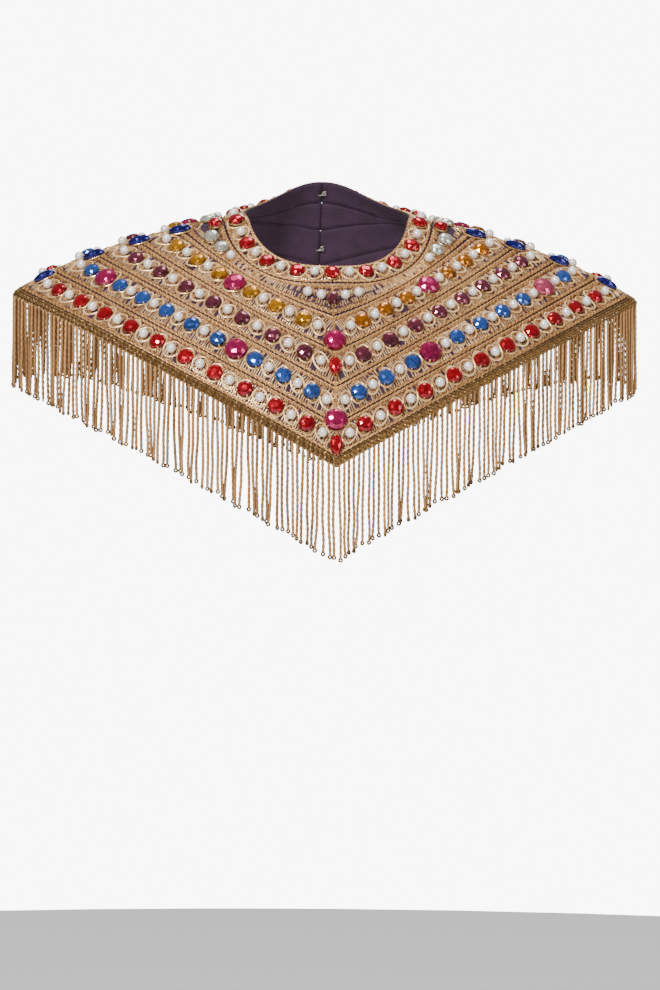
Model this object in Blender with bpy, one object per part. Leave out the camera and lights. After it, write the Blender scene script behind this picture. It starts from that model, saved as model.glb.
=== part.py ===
"""Fringed capelet: four mitred quarters of jewelled braid round an open neck.

Metres, +Z up, +Y towards the wearer's back, +X towards the viewer's right. The origin
lies on the wearer, midway between the shoulder tips, at the height of the sides of the neck.
"""
import math
import random
from collections import namedtuple

import bmesh
import bpy
from mathutils import Vector, geometry

MM = 0.001

# Cloth
WALL = 3.0 * MM
SEAM_GAP = 0.3 * MM
BAND_WIDTH = 29.0 * MM
BAND_COUNT = 5
CLOTH_EDGE = 0.12
HALF_SEAM = 0.6 * SEAM_GAP / BAND_WIDTH
MITRE_TRIM = 0.85 * SEAM_GAP
CENTRE_TRIM = 0.6 * SEAM_GAP
SEGMENT = 17.0 * MM
NECK_SEAM_SEGMENT = 9.0 * MM

# Neck opening seen from above, at its inner edge and at the outer edge of the neck band
NECK_BAND_WIDTH = 20.0 * MM
NECK_IN = {"half_width": 66.6 * MM, "half_depth": 66.0 * MM, "centre_y": 11.0 * MM}
NECK_OUT = {"half_width": 85.6 * MM, "half_depth": 79.0 * MM, "centre_y": 10.0 * MM}
NECK_SEGMENTS = 22

# Shoulders: how far the cloth behind the mitre still faces the front, and how it rounds over
BACK_FACING = math.radians(10)
SHOULDER_ROUND = 15.0 * MM
SHOULDER_LIFT = 0.45
SHOULDER_FULLNESS = 1.1

# Fringe
HEADER_EDGE = -0.14
STRANDS = 54
STRAND_LENGTH = 76.0 * MM
STRAND_ROOT = 2.1 * MM
STRAND_TIP = 0.9 * MM
STRAND_SWAY = 1.2 * MM

# Stones: width, height over the braid, share of the width at the top, number of sides
Stone = namedtuple("Stone", "width height crown sides")
STONES = {
    "round": Stone(13.3 * MM, 4.6 * MM, 0.55, 6),
    "clear": Stone(12.5 * MM, 4.6 * MM, 0.55, 6),
    "large": Stone(18.0 * MM, 6.0 * MM, 0.55, 8),
    "pearl": Stone(8.5 * MM, 7.0 * MM, 0.55, 5),
}
CODES = {"s": "round", "c": "clear", "m": "large", "p": "pearl"}
SET_STONE_SIDES = 10
SET_STONE_TOP = 0.6
POINTED_POWER = 1.25

# Steps for slopes: along the bands' count, along a row's share, and in Newton's method
BAND_STEP = 0.01
SHARE_STEP = 0.004
SEARCH_STEP = 1e-3
SEARCH_TURNS = 40
SEARCH_MISS = 1e-7
CENTRE_SHARE = 0.01

# Centre line of the front at each seam between bands, counted from the hem (0) to the neck
CentreStation = namedtuple("CentreStation", "band y z")
CENTRE_FRONT = [
    CentreStation(0, -132.0, -203.0),
    CentreStation(1, -125.0, -174.5),
    CentreStation(2, -116.0, -145.5),
    CentreStation(3, -104.5, -117.5),
    CentreStation(4, -89.5, -89.5),
    CentreStation(5, -71.0, -64.0),
    CentreStation(6, -48.0, -41.0),
]
# The back's rise is how steeply its seam leaves the centre line
BackStation = namedtuple("BackStation", "band y z rise")
CENTRE_BACK = [
    BackStation(0, 124.0, -122.5, 105),
    BackStation(1, 121.5, -92.0, 90),
    BackStation(2, 117.5, -62.0, 72),
    BackStation(3, 111.0, -32.0, 52),
    BackStation(4, 101.0, -3.0, 32),
    BackStation(5, 86.0, 24.0, 16),
    BackStation(6, 66.0, 47.0, 8),
]

# Shoulder mitre at the same seams; sag is how far a seam hangs below its chord half way,
# facing is how far the cloth before the mitre faces the front, in degrees
RidgeStation = namedtuple("RidgeStation", "band x y z sag facing")
RIDGE = [
    RidgeStation(0, 250.0, 0.0, -68.0, 2.0, 40),
    RidgeStation(1, 219.0, 0.0, -51.5, 0.0, 40),
    RidgeStation(2, 186.0, -2.0, -37.5, -1.5, 42),
    RidgeStation(3, 152.0, -4.0, -26.5, -5.0, 45),
    RidgeStation(4, 117.0, -6.0, -17.0, -8.0, 50),
    RidgeStation(5, 82.0, -7.0, -10.0, -10.0, 52),
    RidgeStation(6, 47.0, -8.0, -4.0, -11.0, 52),
]

# Rows of stones and pearls, from the centre line to the shoulder mitre
Row = namedtuple("Row", "band start end left right")
FRONT_ROWS = [
    Row(1, 7.5, 8.5, "pspspspspspspspspspsp", "pspspspspspspspspspsp"),
    Row(2, 3.7, 3.0, "pspspsmspspspspsmsp", "pspspsmpspspspspmpsp"),
    Row(3, 8.0, 4.0, "pspspspspspspsp", "pspspspspspspspsp"),
    Row(4, 9.5, 3.0, "pspspsmspspsp", "pspspspmpspspsp"),
]
BACK_ROWS = [
    Row(1, 12.0, 8.5, "spspspspspspspspspsp", "spspspspspspspspspsp"),
    Row(2, 10.0, 3.0, "spspspmpspspspspsp", "spspspmpspspspspsp"),
    Row(3, 10.0, 4.0, "pspspspspspspsp", "pspspspspspspsp"),
    Row(4, 10.0, 3.0, "pspspspsmsp", "pspspspsmsp"),
]
# Innermost band, half hidden by the neck band: places as shares of its length
InnerStone = namedtuple("InnerStone", "code share")
INNER_ROW = [
    InnerStone("p", 0.09),
    InnerStone("p", 0.19),
    InnerStone("p", 0.73),
    InnerStone("c", 0.815),
    InnerStone("c", 0.912),
]
NECK_ROW = "pspspspspspspspsp"
NECK_ROW_START = 9.0 * MM
NECK_ROW_END = 8.0 * MM

# Stones set across the centre front and along the shoulder mitres
SetStone = namedtuple("SetStone", "name band length width height pointed")
CENTRE_STONES = [
    SetStone("centre_drop_hem", 0.43, 17.0, 11.0, 4.6, True),
    SetStone("centre_large_low", 1.12, 18.0, 18.0, 6.0, False),
    SetStone("centre_drop_mid", 2.55, 16.0, 11.0, 4.6, True),
    SetStone("centre_large_high", 3.29, 18.0, 18.0, 6.0, False),
    SetStone("centre_drop_neck", 4.50, 15.0, 10.0, 4.6, True),
]
NECK_STONE = SetStone("centre_round_neck", 6, 13.3, 13.3, 4.6, False)
RIDGE_STONES = [
    SetStone("navette_1", 0.72, 20.0, 8.6, 4.6, True),
    SetStone("navette_2", 1.93, 20.0, 8.6, 4.6, True),
    SetStone("navette_3", 3.00, 20.0, 8.6, 4.6, True),
    SetStone("navette_4", 3.93, 20.0, 8.6, 4.6, True),
    SetStone("corner_round", 4.74, 12.0, 12.0, 4.6, False),
]

# Hooks and eyes behind the centre-back opening
HOOK_SIZE = (8.0 * MM, 5.0 * MM, 1.2 * MM)
HOOK_CLEAR = 0.6 * MM

COLOURS = {
    "braid": ((0.55, 0.37, 0.17), 0.45, 0.7),
    "fringe": ((0.36, 0.20, 0.07), 0.5, 0.6),
    "glass_red": ((0.45, 0.01, 0.02), 0.1, 0.0),
    "glass_magenta": ((0.45, 0.02, 0.13), 0.1, 0.0),
    "glass_navy": ((0.02, 0.01, 0.25), 0.1, 0.0),
    "steel": ((0.4, 0.38, 0.34), 0.35, 1.0),
}


def clear_scene():
    for item in list(bpy.data.objects):
        bpy.data.objects.remove(item, do_unlink=True)


def material(name):
    found = bpy.data.materials.get(name)
    if found:
        return found
    colour, roughness, metallic = COLOURS[name]
    made = bpy.data.materials.new(name)
    made.use_nodes = True
    shader = made.node_tree.nodes["Principled BSDF"]
    shader.inputs["Base Color"].default_value = (*colour, 1.0)
    shader.inputs["Roughness"].default_value = roughness
    shader.inputs["Metallic"].default_value = metallic
    return made


def read_table(table, column, band):
    """Value of a table's column at any place between its stations, on a smooth curve."""
    low = max(0, min(len(table) - 2, math.floor(band)))
    value = [getattr(station, column) for station in table]
    share = band - low
    before = value[low - 1] if low > 0 else 2 * value[0] - value[1]
    after = value[low + 2] if low + 2 < len(table) else 2 * value[-1] - value[-2]
    start = (value[low + 1] - before) / 2
    end = (after - value[low]) / 2
    return hermite(value[low], value[low + 1], start, end, share)


def hermite(first, last, first_slope, last_slope, share):
    square = share * share
    cube = square * share
    return (first * (2 * cube - 3 * square + 1) + first_slope * (cube - 2 * square + share)
            + last * (3 * square - 2 * cube) + last_slope * (cube - square))


def centre_point(table, band):
    return Vector((0, read_table(table, "y", band), read_table(table, "z", band))) * MM


def ridge_point(band):
    return Vector([read_table(RIDGE, axis, band) for axis in "xyz"]) * MM


def ridge_direction(band):
    """Unit vector along the shoulder mitre, from the neck outwards."""
    return (ridge_point(band - BAND_STEP) - ridge_point(band + BAND_STEP)).normalized()


def ridge_frame(band, facing):
    """Direction across the mitre towards the back, and the outward normal."""
    along = ridge_direction(band)
    back = Vector((0, 1, 0))
    back = (back - back.dot(along) * along).normalized()
    up = along.cross(back)
    up = up if up.z > 0 else -up
    normal = math.cos(facing) * up - math.sin(facing) * back
    across = math.cos(facing) * back + math.sin(facing) * up
    return across, normal


def front_facing(band):
    return math.radians(read_table(RIDGE, "facing", band))


def mean_facing(band):
    return (front_facing(band) + BACK_FACING) / 2


def front_tangents(band):
    centre = centre_point(CENTRE_FRONT, band)
    ridge = ridge_point(band)
    sag = read_table(RIDGE, "sag", band) * MM
    climb = ridge.z - centre.z
    rise = centre_point(CENTRE_FRONT, band + BAND_STEP) - centre_point(CENTRE_FRONT, band - BAND_STEP)
    start_z = climb + 4 * sag
    end_z = climb - 4 * sag
    normal = ridge_frame(band, front_facing(band))[1]
    end_y = -(normal.x * ridge.x + normal.z * end_z) / normal.y
    start = Vector((ridge.x, start_z * rise.y / rise.z, start_z))
    return start, Vector((ridge.x, end_y, end_z))


def front_surface(share, band):
    """Point on the cloth's inner face, share 0 at centre front and 1 at the shoulder mitre."""
    start, end = front_tangents(band)
    return hermite(centre_point(CENTRE_FRONT, band), ridge_point(band), start, end, share)


def back_surface(share, band):
    """The same behind the mitre, share 0 at centre back."""
    centre = centre_point(CENTRE_BACK, band)
    ridge = ridge_point(band)
    along = ridge_direction(band)
    lean = along.angle(front_tangents(band)[1])
    across = ridge_frame(band, BACK_FACING)[0]
    length = (ridge - centre).length
    end = (math.cos(lean) * along - math.sin(lean) * across) * length * SHOULDER_FULLNESS
    climb = centre_point(CENTRE_BACK, band + BAND_STEP) - centre_point(CENTRE_BACK, band - BAND_STEP)
    rise = read_table(CENTRE_BACK, "rise", band) * MM
    start = Vector((length, rise * climb.y / climb.z, rise))
    point = hermite(centre, ridge, start, end, share)
    away = (1 - share) * length
    point.z += SHOULDER_LIFT * away * math.exp(-away / SHOULDER_ROUND)
    return point


SURFACES = {"front": front_surface, "back": back_surface}


def normal_of(surface, share, band, outward):
    """Outward normal, the same on both sides of a centre line or a shoulder mitre."""
    step = SHARE_STEP
    along = surface(min(1, share + step), band) - surface(max(0, share - step), band)
    across = surface(share, band + step) - surface(share, band - step)
    normal = (along.cross(across) * outward).normalized()
    if share < CENTRE_SHARE:
        normal.x = 0
    if share > 1 - CENTRE_SHARE:
        normal = ridge_frame(band, mean_facing(band))[1]
    return normal.normalized()


def neck_ellipse(angle, share):
    """Plan point of the neck band, share 0 at the neck edge and 1 at the band's outer edge."""
    size = {key: NECK_IN[key] + share * (NECK_OUT[key] - NECK_IN[key]) for key in NECK_IN}
    return Vector((size["half_width"] * math.cos(angle),
                   size["centre_y"] + size["half_depth"] * math.sin(angle)))


def inside_neck(point, share):
    size = {key: NECK_IN[key] + share * (NECK_OUT[key] - NECK_IN[key]) for key in NECK_IN}
    across = point.x / size["half_width"]
    depth = (point.y - size["centre_y"]) / size["half_depth"]
    return across * across + depth * depth < 1


def neck_limit(surface, share):
    """Place across the bands where the cloth of a quarter meets the neck band."""
    low, high = 3.0, 7.0
    clear = 1 + SEAM_GAP / NECK_BAND_WIDTH * 2
    for _ in range(30):
        middle = (low + high) / 2
        if inside_neck(surface(share, middle), clear):
            high = middle
        else:
            low = middle
    return low


def surface_over(plan):
    """Side, share and band of the cloth over a plan point, by Newton's method."""
    for side in ("front", "back"):
        surface = SURFACES[side]
        share, band = 0.5, 5.0
        for _ in range(SEARCH_TURNS):
            here = surface(share, band)
            miss = Vector((plan.x - here.x, plan.y - here.y))
            if miss.length < SEARCH_MISS:
                break
            along = (surface(share + SEARCH_STEP, band) - here) / SEARCH_STEP
            across = (surface(share, band + SEARCH_STEP) - here) / SEARCH_STEP
            area = along.x * across.y - along.y * across.x
            share += max(-0.3, min(0.3, (miss.x * across.y - miss.y * across.x) / area))
            band += max(-0.7, min(0.7, (along.x * miss.y - along.y * miss.x) / area))
            share = max(-0.1, min(1.15, share))
        if share <= 1.0 or side == "back":
            return side, max(0.0, min(1.0, share)), band
    return None


def quarter_patch(side, outer, inner_of):
    """Point and normal of a band: u from centre to mitre, v from outer to inner seam."""
    surface = SURFACES[side]
    outward = 1 if side == "front" else -1
    length = (surface(1, outer + 0.5) - surface(0, outer + 0.5)).length
    trim = MITRE_TRIM / length

    def place(u, v):
        share = trim + u * (1 - 2 * trim)
        inner = inner_of(share)
        band = outer + v * (inner - outer)
        return surface(share, band), normal_of(surface, share, band, outward)
    return place


def neck_patch():
    """Point and normal of half the neck band: u from centre front to back, v outwards."""
    edge = CENTRE_TRIM / NECK_IN["half_width"]

    def place(u, v):
        angle = -math.pi / 2 + edge + (math.pi - 2 * edge) * u
        side, share, band = surface_over(neck_ellipse(angle, v))
        outward = 1 if side == "front" else -1
        return SURFACES[side](share, band), normal_of(SURFACES[side], share, band, outward)
    return place


def patch_length(place, v, steps=40):
    points = [place(index / steps, v)[0] for index in range(steps + 1)]
    return sum((second - first).length for first, second in zip(points, points[1:]))


def share_at(place, v, distance, steps=80):
    """Parameter u where the line at v has run the given distance."""
    run = 0
    before = place(0, v)[0]
    for index in range(1, steps + 1):
        here = place(index / steps, v)[0]
        piece = (here - before).length
        if run + piece >= distance:
            return (index - 1 + (distance - run) / piece) / steps
        run += piece
        before = here
    return 1.0


def row_places(place, codes, start, end, v=0.5):
    """Stones of a row, evenly parted, as (kind, u, v)."""
    widths = [STONES[CODES[code]].width for code in codes]
    length = patch_length(place, v)
    gap = (length - start - end - sum(widths)) / (len(codes) - 1)
    run = start
    found = []
    for code, width in zip(codes, widths):
        found.append((CODES[code], share_at(place, v, run + width / 2), v))
        run += width + gap
    return found


def stone_ring(place, u, v, radius, sides):
    """Parameters of a regular ring round a place, measured on the cloth."""
    step = SEARCH_STEP
    along = (place(u + step, v)[0] - place(u - step, v)[0]) / (2 * step)
    across = (place(u, v + step)[0] - place(u, v - step)[0]) / (2 * step)
    first = along.normalized()
    second = (across - across.dot(first) * first).normalized()
    ring = []
    for index in range(sides):
        angle = 2 * math.pi * (index + 0.5) / sides
        v_move = radius * math.sin(angle) / across.dot(second)
        u_move = (radius * math.cos(angle) - v_move * across.dot(first)) / along.length
        ring.append((u + u_move, v + v_move))
    return ring


def jewelled_wall(name, place, columns, stones, mirrored):
    """Closed wall: plain inside, outside with each stone raised as a low frustum."""
    bm = bmesh.new()
    length = patch_length(place, 0.5)
    width = (place(0.5, 1)[0] - place(0.5, 0)[0]).length

    def vertex(u, v, lift):
        point, normal = place(u, v)
        return bm.verts.new(point + lift * normal)

    edge = [(index / columns, 0.0) for index in range(columns + 1)]
    edge += [(1 - index / columns, 1.0) for index in range(columns + 1)]
    inside = [vertex(u, v, 0) for u, v in edge]
    outline = [vertex(u, v, WALL) for u, v in edge]
    flat = list(edge)
    outside = list(outline)
    borders = [(index, (index + 1) % len(edge)) for index in range(len(edge))]
    rings = []
    for kind, u, v in stones:
        stone = STONES[kind]
        ring = stone_ring(place, u, v, stone.width / 2, stone.sides)
        first = len(flat)
        flat += ring
        base = [vertex(*spot, WALL) for spot in ring]
        outside += base
        borders += [(first + index, first + (index + 1) % stone.sides)
                    for index in range(stone.sides)]
        rings.append(set(range(first, first + stone.sides)))
        top_ring = stone_ring(place, u, v, stone.width / 2 * stone.crown, stone.sides)
        top = [vertex(*spot, WALL + stone.height) for spot in top_ring]
        for index in range(stone.sides):
            after = (index + 1) % stone.sides
            bm.faces.new((base[index], base[after], top[after], top[index]))
        bm.faces.new(top)
    coords = [Vector((u * length, v * width)) for u, v in flat]
    found, _, faces = geometry.delaunay_2d_cdt(coords, borders, [], 0, 1e-9)[:3]
    if len(found) > len(coords):
        raise ValueError(f"stones cross each other or an edge on {name}")
    for face in faces:
        corners = set(face)
        if any(corners <= ring for ring in rings):
            continue
        bm.faces.new([outside[index] for index in face])
    for index in range(columns):
        lower = (inside[index], inside[index + 1])
        upper = (inside[-2 - index], inside[-1 - index])
        bm.faces.new((*lower, *upper))
    for index in range(len(edge)):
        after = (index + 1) % len(edge)
        bm.faces.new((inside[index], inside[after], outline[after], outline[index]))
    finish_mesh(name, bm, "braid", mirrored)


def finish_mesh(name, bm, colour, mirrored=False):
    """Mirror if asked, face outwards, triangulate and make the object."""
    if mirrored:
        bmesh.ops.scale(bm, vec=(-1, 1, 1), verts=bm.verts)
    bmesh.ops.triangulate(bm, faces=bm.faces)
    bmesh.ops.recalc_face_normals(bm, faces=bm.faces)
    mesh = bpy.data.meshes.new(name)
    bm.to_mesh(mesh)
    bm.free()
    mesh.materials.append(material(colour))
    made = bpy.data.objects.new(name, mesh)
    bpy.data.collections["fringed_capelet"].objects.link(made)
    return made


def make_bands():
    for side, rows in (("front", FRONT_ROWS), ("back", BACK_ROWS)):
        surface = SURFACES[side]
        for band in range(1, BAND_COUNT + 1):
            outer = (CLOTH_EDGE if band == 1 else band - 1) + HALF_SEAM
            if band < BAND_COUNT:
                place = quarter_patch(side, outer, lambda share, top=band - HALF_SEAM: top)
            else:
                place = quarter_patch(side, outer, lambda share: neck_limit(surface, share))
            segment = SEGMENT if band < BAND_COUNT else NECK_SEAM_SEGMENT
            columns = round(patch_length(place, 0.5) / segment)
            for hand in ("left", "right"):
                if band < BAND_COUNT:
                    row = rows[band - 1]
                    codes = getattr(row, hand)
                    stones = row_places(place, codes, row.start * MM, row.end * MM)
                else:
                    stones = [(CODES[stone.code], stone.share, 0.5) for stone in INNER_ROW]
                name = f"band_{band}_{side}_{hand}"
                jewelled_wall(name, place, columns, stones, hand == "left")


def make_neck_band():
    place = neck_patch()
    stones = row_places(place, NECK_ROW, NECK_ROW_START, NECK_ROW_END)
    for hand in ("left", "right"):
        jewelled_wall(f"neck_band_{hand}", place, NECK_SEGMENTS, stones, hand == "left")


def make_fringe():
    """Header strip along each quarter's hem, with strands drawn down from its lower edge."""
    for side in ("front", "back"):
        place = quarter_patch(side, HEADER_EDGE, lambda share: CLOTH_EDGE - HALF_SEAM)
        length = patch_length(place, 0)
        half = STRAND_ROOT / 2 / length
        for hand in ("left", "right"):
            chance = random.Random(f"{side} {hand}")
            bm = bmesh.new()
            marks = [0.0]
            for index in range(STRANDS):
                middle = (index + 0.5) / STRANDS
                marks += [middle - half, middle + half]
            marks.append(1.0)
            rings = {}
            for v, lift in ((0, 0), (0, WALL), (1, 0), (1, WALL)):
                spots = marks if v == 0 else marks[0::4] + [1.0]
                spots = sorted(set(spots))
                rings[v, lift] = []
                for u in spots:
                    point, normal = place(u, v)
                    rings[v, lift].append((u, bm.verts.new(point + lift * normal)))
            join_rows(bm, rings[0, 0], rings[1, 0])
            join_rows(bm, rings[0, WALL], rings[1, WALL])
            join_rows(bm, rings[1, 0], rings[1, WALL])
            inner = [item for _, item in rings[0, 0]]
            outer = [item for _, item in rings[0, WALL]]
            for index in range(len(marks) - 1):
                root = (inner[index], inner[index + 1], outer[index + 1], outer[index])
                if index % 2:
                    hang_strand(bm, root, chance)
                else:
                    bm.faces.new(root)
            for end in (0, -1):
                bm.faces.new((rings[0, 0][end][1], rings[0, WALL][end][1],
                              rings[1, WALL][end][1], rings[1, 0][end][1]))
            finish_mesh(f"fringe_{side}_{hand}", bm, "fringe", hand == "left")


def join_rows(bm, first, second):
    """Triangles between two rows of (u, vertex) pairs with unlike spacing."""
    low, high = 0, 0
    while low < len(first) - 1 or high < len(second) - 1:
        step_low = high == len(second) - 1
        if low < len(first) - 1 and not step_low:
            step_low = first[low + 1][0] <= second[high + 1][0]
        if step_low:
            bm.faces.new((first[low][1], first[low + 1][1], second[high][1]))
            low += 1
        else:
            bm.faces.new((first[low][1], second[high + 1][1], second[high][1]))
            high += 1


def hang_strand(bm, root, chance):
    """Four-sided strand straight down from its root, a little swayed and uneven."""
    centre = sum((corner.co for corner in root), Vector()) / 4
    sway = Vector((chance.uniform(-1, 1), chance.uniform(-1, 1), 0)) * STRAND_SWAY
    foot = centre + sway - Vector((0, 0, STRAND_LENGTH * chance.uniform(0.985, 1.01)))
    tip = []
    for corner in root:
        across = corner.co - centre
        across.z = 0
        tip.append(bm.verts.new(foot + across.normalized() * STRAND_TIP))
    for index in range(4):
        after = (index + 1) % 4
        bm.faces.new((root[index], root[after], tip[after], tip[index]))
    bm.faces.new(tip)


def set_stone(name, size, colour, spot, turn_to):
    """Stone lying on the cloth: spot(a, b) gives the point and normal at a place on it."""
    bm = bmesh.new()
    sides = SET_STONE_SIDES
    length = size.length * MM
    width = size.width * MM
    bottom, top = [], []
    for index in range(sides):
        angle = 2 * math.pi * index / sides
        thin = abs(math.sin(angle)) ** (POINTED_POWER if size.pointed else 1.0)
        along = math.cos(angle) * length / 2
        across = math.copysign(thin, math.sin(angle)) * width / 2
        if abs(math.sin(angle)) < 1e-6:
            across = 0
        point, normal = spot(along, across)
        bottom.append(bm.verts.new(point + normal * (WALL + SEAM_GAP)))
        point, normal = spot(along * SET_STONE_TOP, across * SET_STONE_TOP)
        top.append(bm.verts.new(point + normal * (WALL + size.height * MM)))
    for index in range(sides):
        after = (index + 1) % sides
        bm.faces.new((bottom[index], bottom[after], top[after], top[index]))
    for ring, lift in ((bottom, WALL + SEAM_GAP), (top, WALL + size.height * MM)):
        point, normal = spot(0, 0)
        middle = bm.verts.new(point + normal * lift)
        for index in range(sides):
            bm.faces.new((ring[index], ring[(index + 1) % sides], middle))
    finish_mesh(name, bm, colour, turn_to == "left")


def make_centre_stones():
    for size in CENTRE_STONES:
        colour = "glass_red" if size.pointed else "glass_magenta"

        def spot(along, across, middle=size.band):
            """Along the centre line towards the neck, across towards the right."""
            run = (centre_point(CENTRE_FRONT, middle + BAND_STEP)
                   - centre_point(CENTRE_FRONT, middle - BAND_STEP)).length / (2 * BAND_STEP)
            return cloth_near_centre(middle + along / run, across)
        set_stone(size.name, size, colour, spot, "right")

    def neck_spot(along, across):
        share = 0.5 - along / NECK_BAND_WIDTH
        plan = neck_ellipse(-math.pi / 2 + abs(across) / NECK_OUT["half_width"], share)
        side, part, band = surface_over(plan)
        point = SURFACES[side](part, band)
        normal = normal_of(SURFACES[side], part, band, 1)
        if across < 0:
            point.x = -point.x
            normal.x = -normal.x
        return point, normal
    set_stone(NECK_STONE.name, NECK_STONE, "glass_red", neck_spot, "right")


def cloth_near_centre(band, across):
    """Point and normal beside the centre front, at the height of a place on it."""
    level = centre_point(CENTRE_FRONT, band).z
    reach = abs(across)
    share, here = 0.0, band
    for _ in range(12):
        point = front_surface(share, here)
        share += (reach - point.x) / ridge_point(here).x
        drop = (front_surface(share, here + BAND_STEP).z
                - front_surface(share, here - BAND_STEP).z) / (2 * BAND_STEP)
        here += (level - front_surface(share, here).z) / drop
    point = front_surface(share, here)
    normal = normal_of(front_surface, max(share, 0.012), here, 1)
    if reach < 1e-6:
        normal.x = 0
    if across < 0:
        point.x = -point.x
        normal.x = -normal.x
    return point, normal.normalized()


def make_ridge_stones():
    for hand in ("left", "right"):
        for size in RIDGE_STONES:

            def spot(along, across, middle=size.band):
                """Along the mitre outwards, across it towards the back."""
                run = (ridge_point(middle - BAND_STEP) - ridge_point(middle + BAND_STEP)).length
                band = middle - along / (run / (2 * BAND_STEP))
                sideways = ridge_frame(band, mean_facing(band))[0]
                plan = ridge_point(band) + sideways * across
                if abs(across) < 1e-6:
                    return ridge_point(band), ridge_frame(band, mean_facing(band))[1]
                side, share, band = surface_over(plan)
                outward = 1 if side == "front" else -1
                point = SURFACES[side](share, band)
                return point, normal_of(SURFACES[side], share, band, outward)
            colour = "glass_navy" if size.pointed else "glass_red"
            set_stone(f"{size.name}_{hand}", size, colour, spot, hand)


def make_hooks():
    """A closed hook and eye behind the middle of each band and of the neck band."""
    spans = [(max(CLOTH_EDGE, band), band + 1) for band in range(BAND_COUNT - 1)]
    spans.append([surface_over(neck_ellipse(math.pi / 2, share))[2] for share in (1, 0)])
    for index, (low, high) in enumerate(spans):
        first = centre_point(CENTRE_BACK, low)
        last = centre_point(CENTRE_BACK, high)
        rise = last - first
        tilt = math.atan2(-rise.y, rise.z)
        bm = bmesh.new()
        bmesh.ops.create_cube(bm, size=1)
        bmesh.ops.scale(bm, vec=(HOOK_SIZE[0], HOOK_SIZE[2], HOOK_SIZE[1]), verts=bm.verts)
        inward = Vector((0, -math.cos(tilt), -math.sin(tilt)))
        made = finish_mesh(f"hook_and_eye_{index + 1}", bm, "steel")
        made.location = (first + last) / 2 + inward * (HOOK_SIZE[2] / 2 + HOOK_CLEAR)
        made.rotation_euler = (tilt, 0, 0)


def main():
    clear_scene()
    collection = bpy.data.collections.new("fringed_capelet")
    bpy.context.scene.collection.children.link(collection)
    make_bands()
    make_neck_band()
    make_fringe()
    make_centre_stones()
    make_ridge_stones()
    make_hooks()


main()
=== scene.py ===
import math
from collections import namedtuple
from functools import lru_cache

import bmesh
import bpy
import numpy as np
from bpy.props import FloatProperty, FloatVectorProperty, IntProperty, PointerProperty
from mathutils import Euler, Matrix, Vector


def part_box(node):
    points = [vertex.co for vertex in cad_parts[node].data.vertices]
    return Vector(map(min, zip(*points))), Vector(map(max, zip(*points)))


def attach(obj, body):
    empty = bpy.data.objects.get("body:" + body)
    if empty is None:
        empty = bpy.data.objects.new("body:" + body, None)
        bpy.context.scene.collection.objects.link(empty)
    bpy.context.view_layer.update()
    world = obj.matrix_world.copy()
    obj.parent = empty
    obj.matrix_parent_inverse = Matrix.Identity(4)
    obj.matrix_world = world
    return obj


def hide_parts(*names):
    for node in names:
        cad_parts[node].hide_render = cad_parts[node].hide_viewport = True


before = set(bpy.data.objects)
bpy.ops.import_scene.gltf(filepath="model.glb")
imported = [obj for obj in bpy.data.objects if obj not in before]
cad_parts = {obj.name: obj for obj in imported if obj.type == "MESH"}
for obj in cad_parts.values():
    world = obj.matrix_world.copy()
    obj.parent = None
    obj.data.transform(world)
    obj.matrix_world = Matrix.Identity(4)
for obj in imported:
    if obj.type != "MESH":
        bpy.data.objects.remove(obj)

bl_info = {
    "name": "Fringed Capelet",
    "version": (1, 0, 0),
    "blender": (4, 5, 0),
    "location": "3D View > Sidebar > Capelet",
    "description": "Dresses a fringed capelet of jewelled braid: cloth, braiding, stones, fringe, stage",
    "category": "Object",
}

MM = 0.001
BODY = "root"
HANDS = ("left", "right")

# Cloth: the solids' wall, and the thinner backing that shows between the stitches
WALL = 3.0 * MM
BACKING = 1.7 * MM
SEAM_GAP = 0.3 * MM
BAND_WIDTH = 29.0 * MM
BAND_COUNT = 5
CLOTH_EDGE = 0.12
HALF_SEAM = 0.6 * SEAM_GAP / BAND_WIDTH
MITRE_TRIM = 0.85 * SEAM_GAP
CENTRE_TRIM = 0.6 * SEAM_GAP
HEADER_EDGE = -0.14
STRAND_LENGTH = 76.0 * MM

# Neck opening seen from above, at its inner edge and at the outer edge of the neck band
NECK_BAND_WIDTH = 20.0 * MM
NECK_IN = {"half_width": 66.6 * MM, "half_depth": 66.0 * MM, "centre_y": 11.0 * MM}
NECK_OUT = {"half_width": 85.6 * MM, "half_depth": 79.0 * MM, "centre_y": 10.0 * MM}

# Shoulders: how far the cloth behind the mitre still faces the front, and how it rounds over
BACK_FACING = math.radians(10)
SHOULDER_ROUND = 15.0 * MM
SHOULDER_LIFT = 0.45
SHOULDER_FULLNESS = 1.1

# Steps for slopes: along the bands' count, along a row's share, and in Newton's method
BAND_STEP = 0.01
SHARE_STEP = 0.004
SEARCH_STEP = 1e-3
# Nearer than this share to a centre line or a mitre, both sides take one normal
CENTRE_SHARE = 0.01

# Newton's method: where it starts, when it stops, its greatest moves and the shares it keeps to
SEARCH_SHARE = 0.5
SEARCH_BAND = 5.0
SEARCH_TURNS = 40
SEARCH_MISS = 1e-7
SHARE_MOVE = 0.3
BAND_MOVE = 0.7
SHARE_LOW = -0.1
SHARE_HIGH = 1.15

# The bands between which the neck's edge is looked for by halving, and how often
NECK_BANDS = (3.0, 7.0)
NECK_HALVINGS = 16

# Columns and rows of the grids that the strips are measured on
BAND_GRID = (64, 6)
INNER_GRID = (48, 6)
HEADER_GRID = (64, 4)

# Stones: width and height over the braid
Stone = namedtuple("Stone", "width height")
STONES = {
    "s": Stone(13.3 * MM, 4.6 * MM),
    "c": Stone(12.5 * MM, 4.6 * MM),
    "m": Stone(18.0 * MM, 6.0 * MM),
    "p": Stone(8.5 * MM, 7.0 * MM),
}

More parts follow.
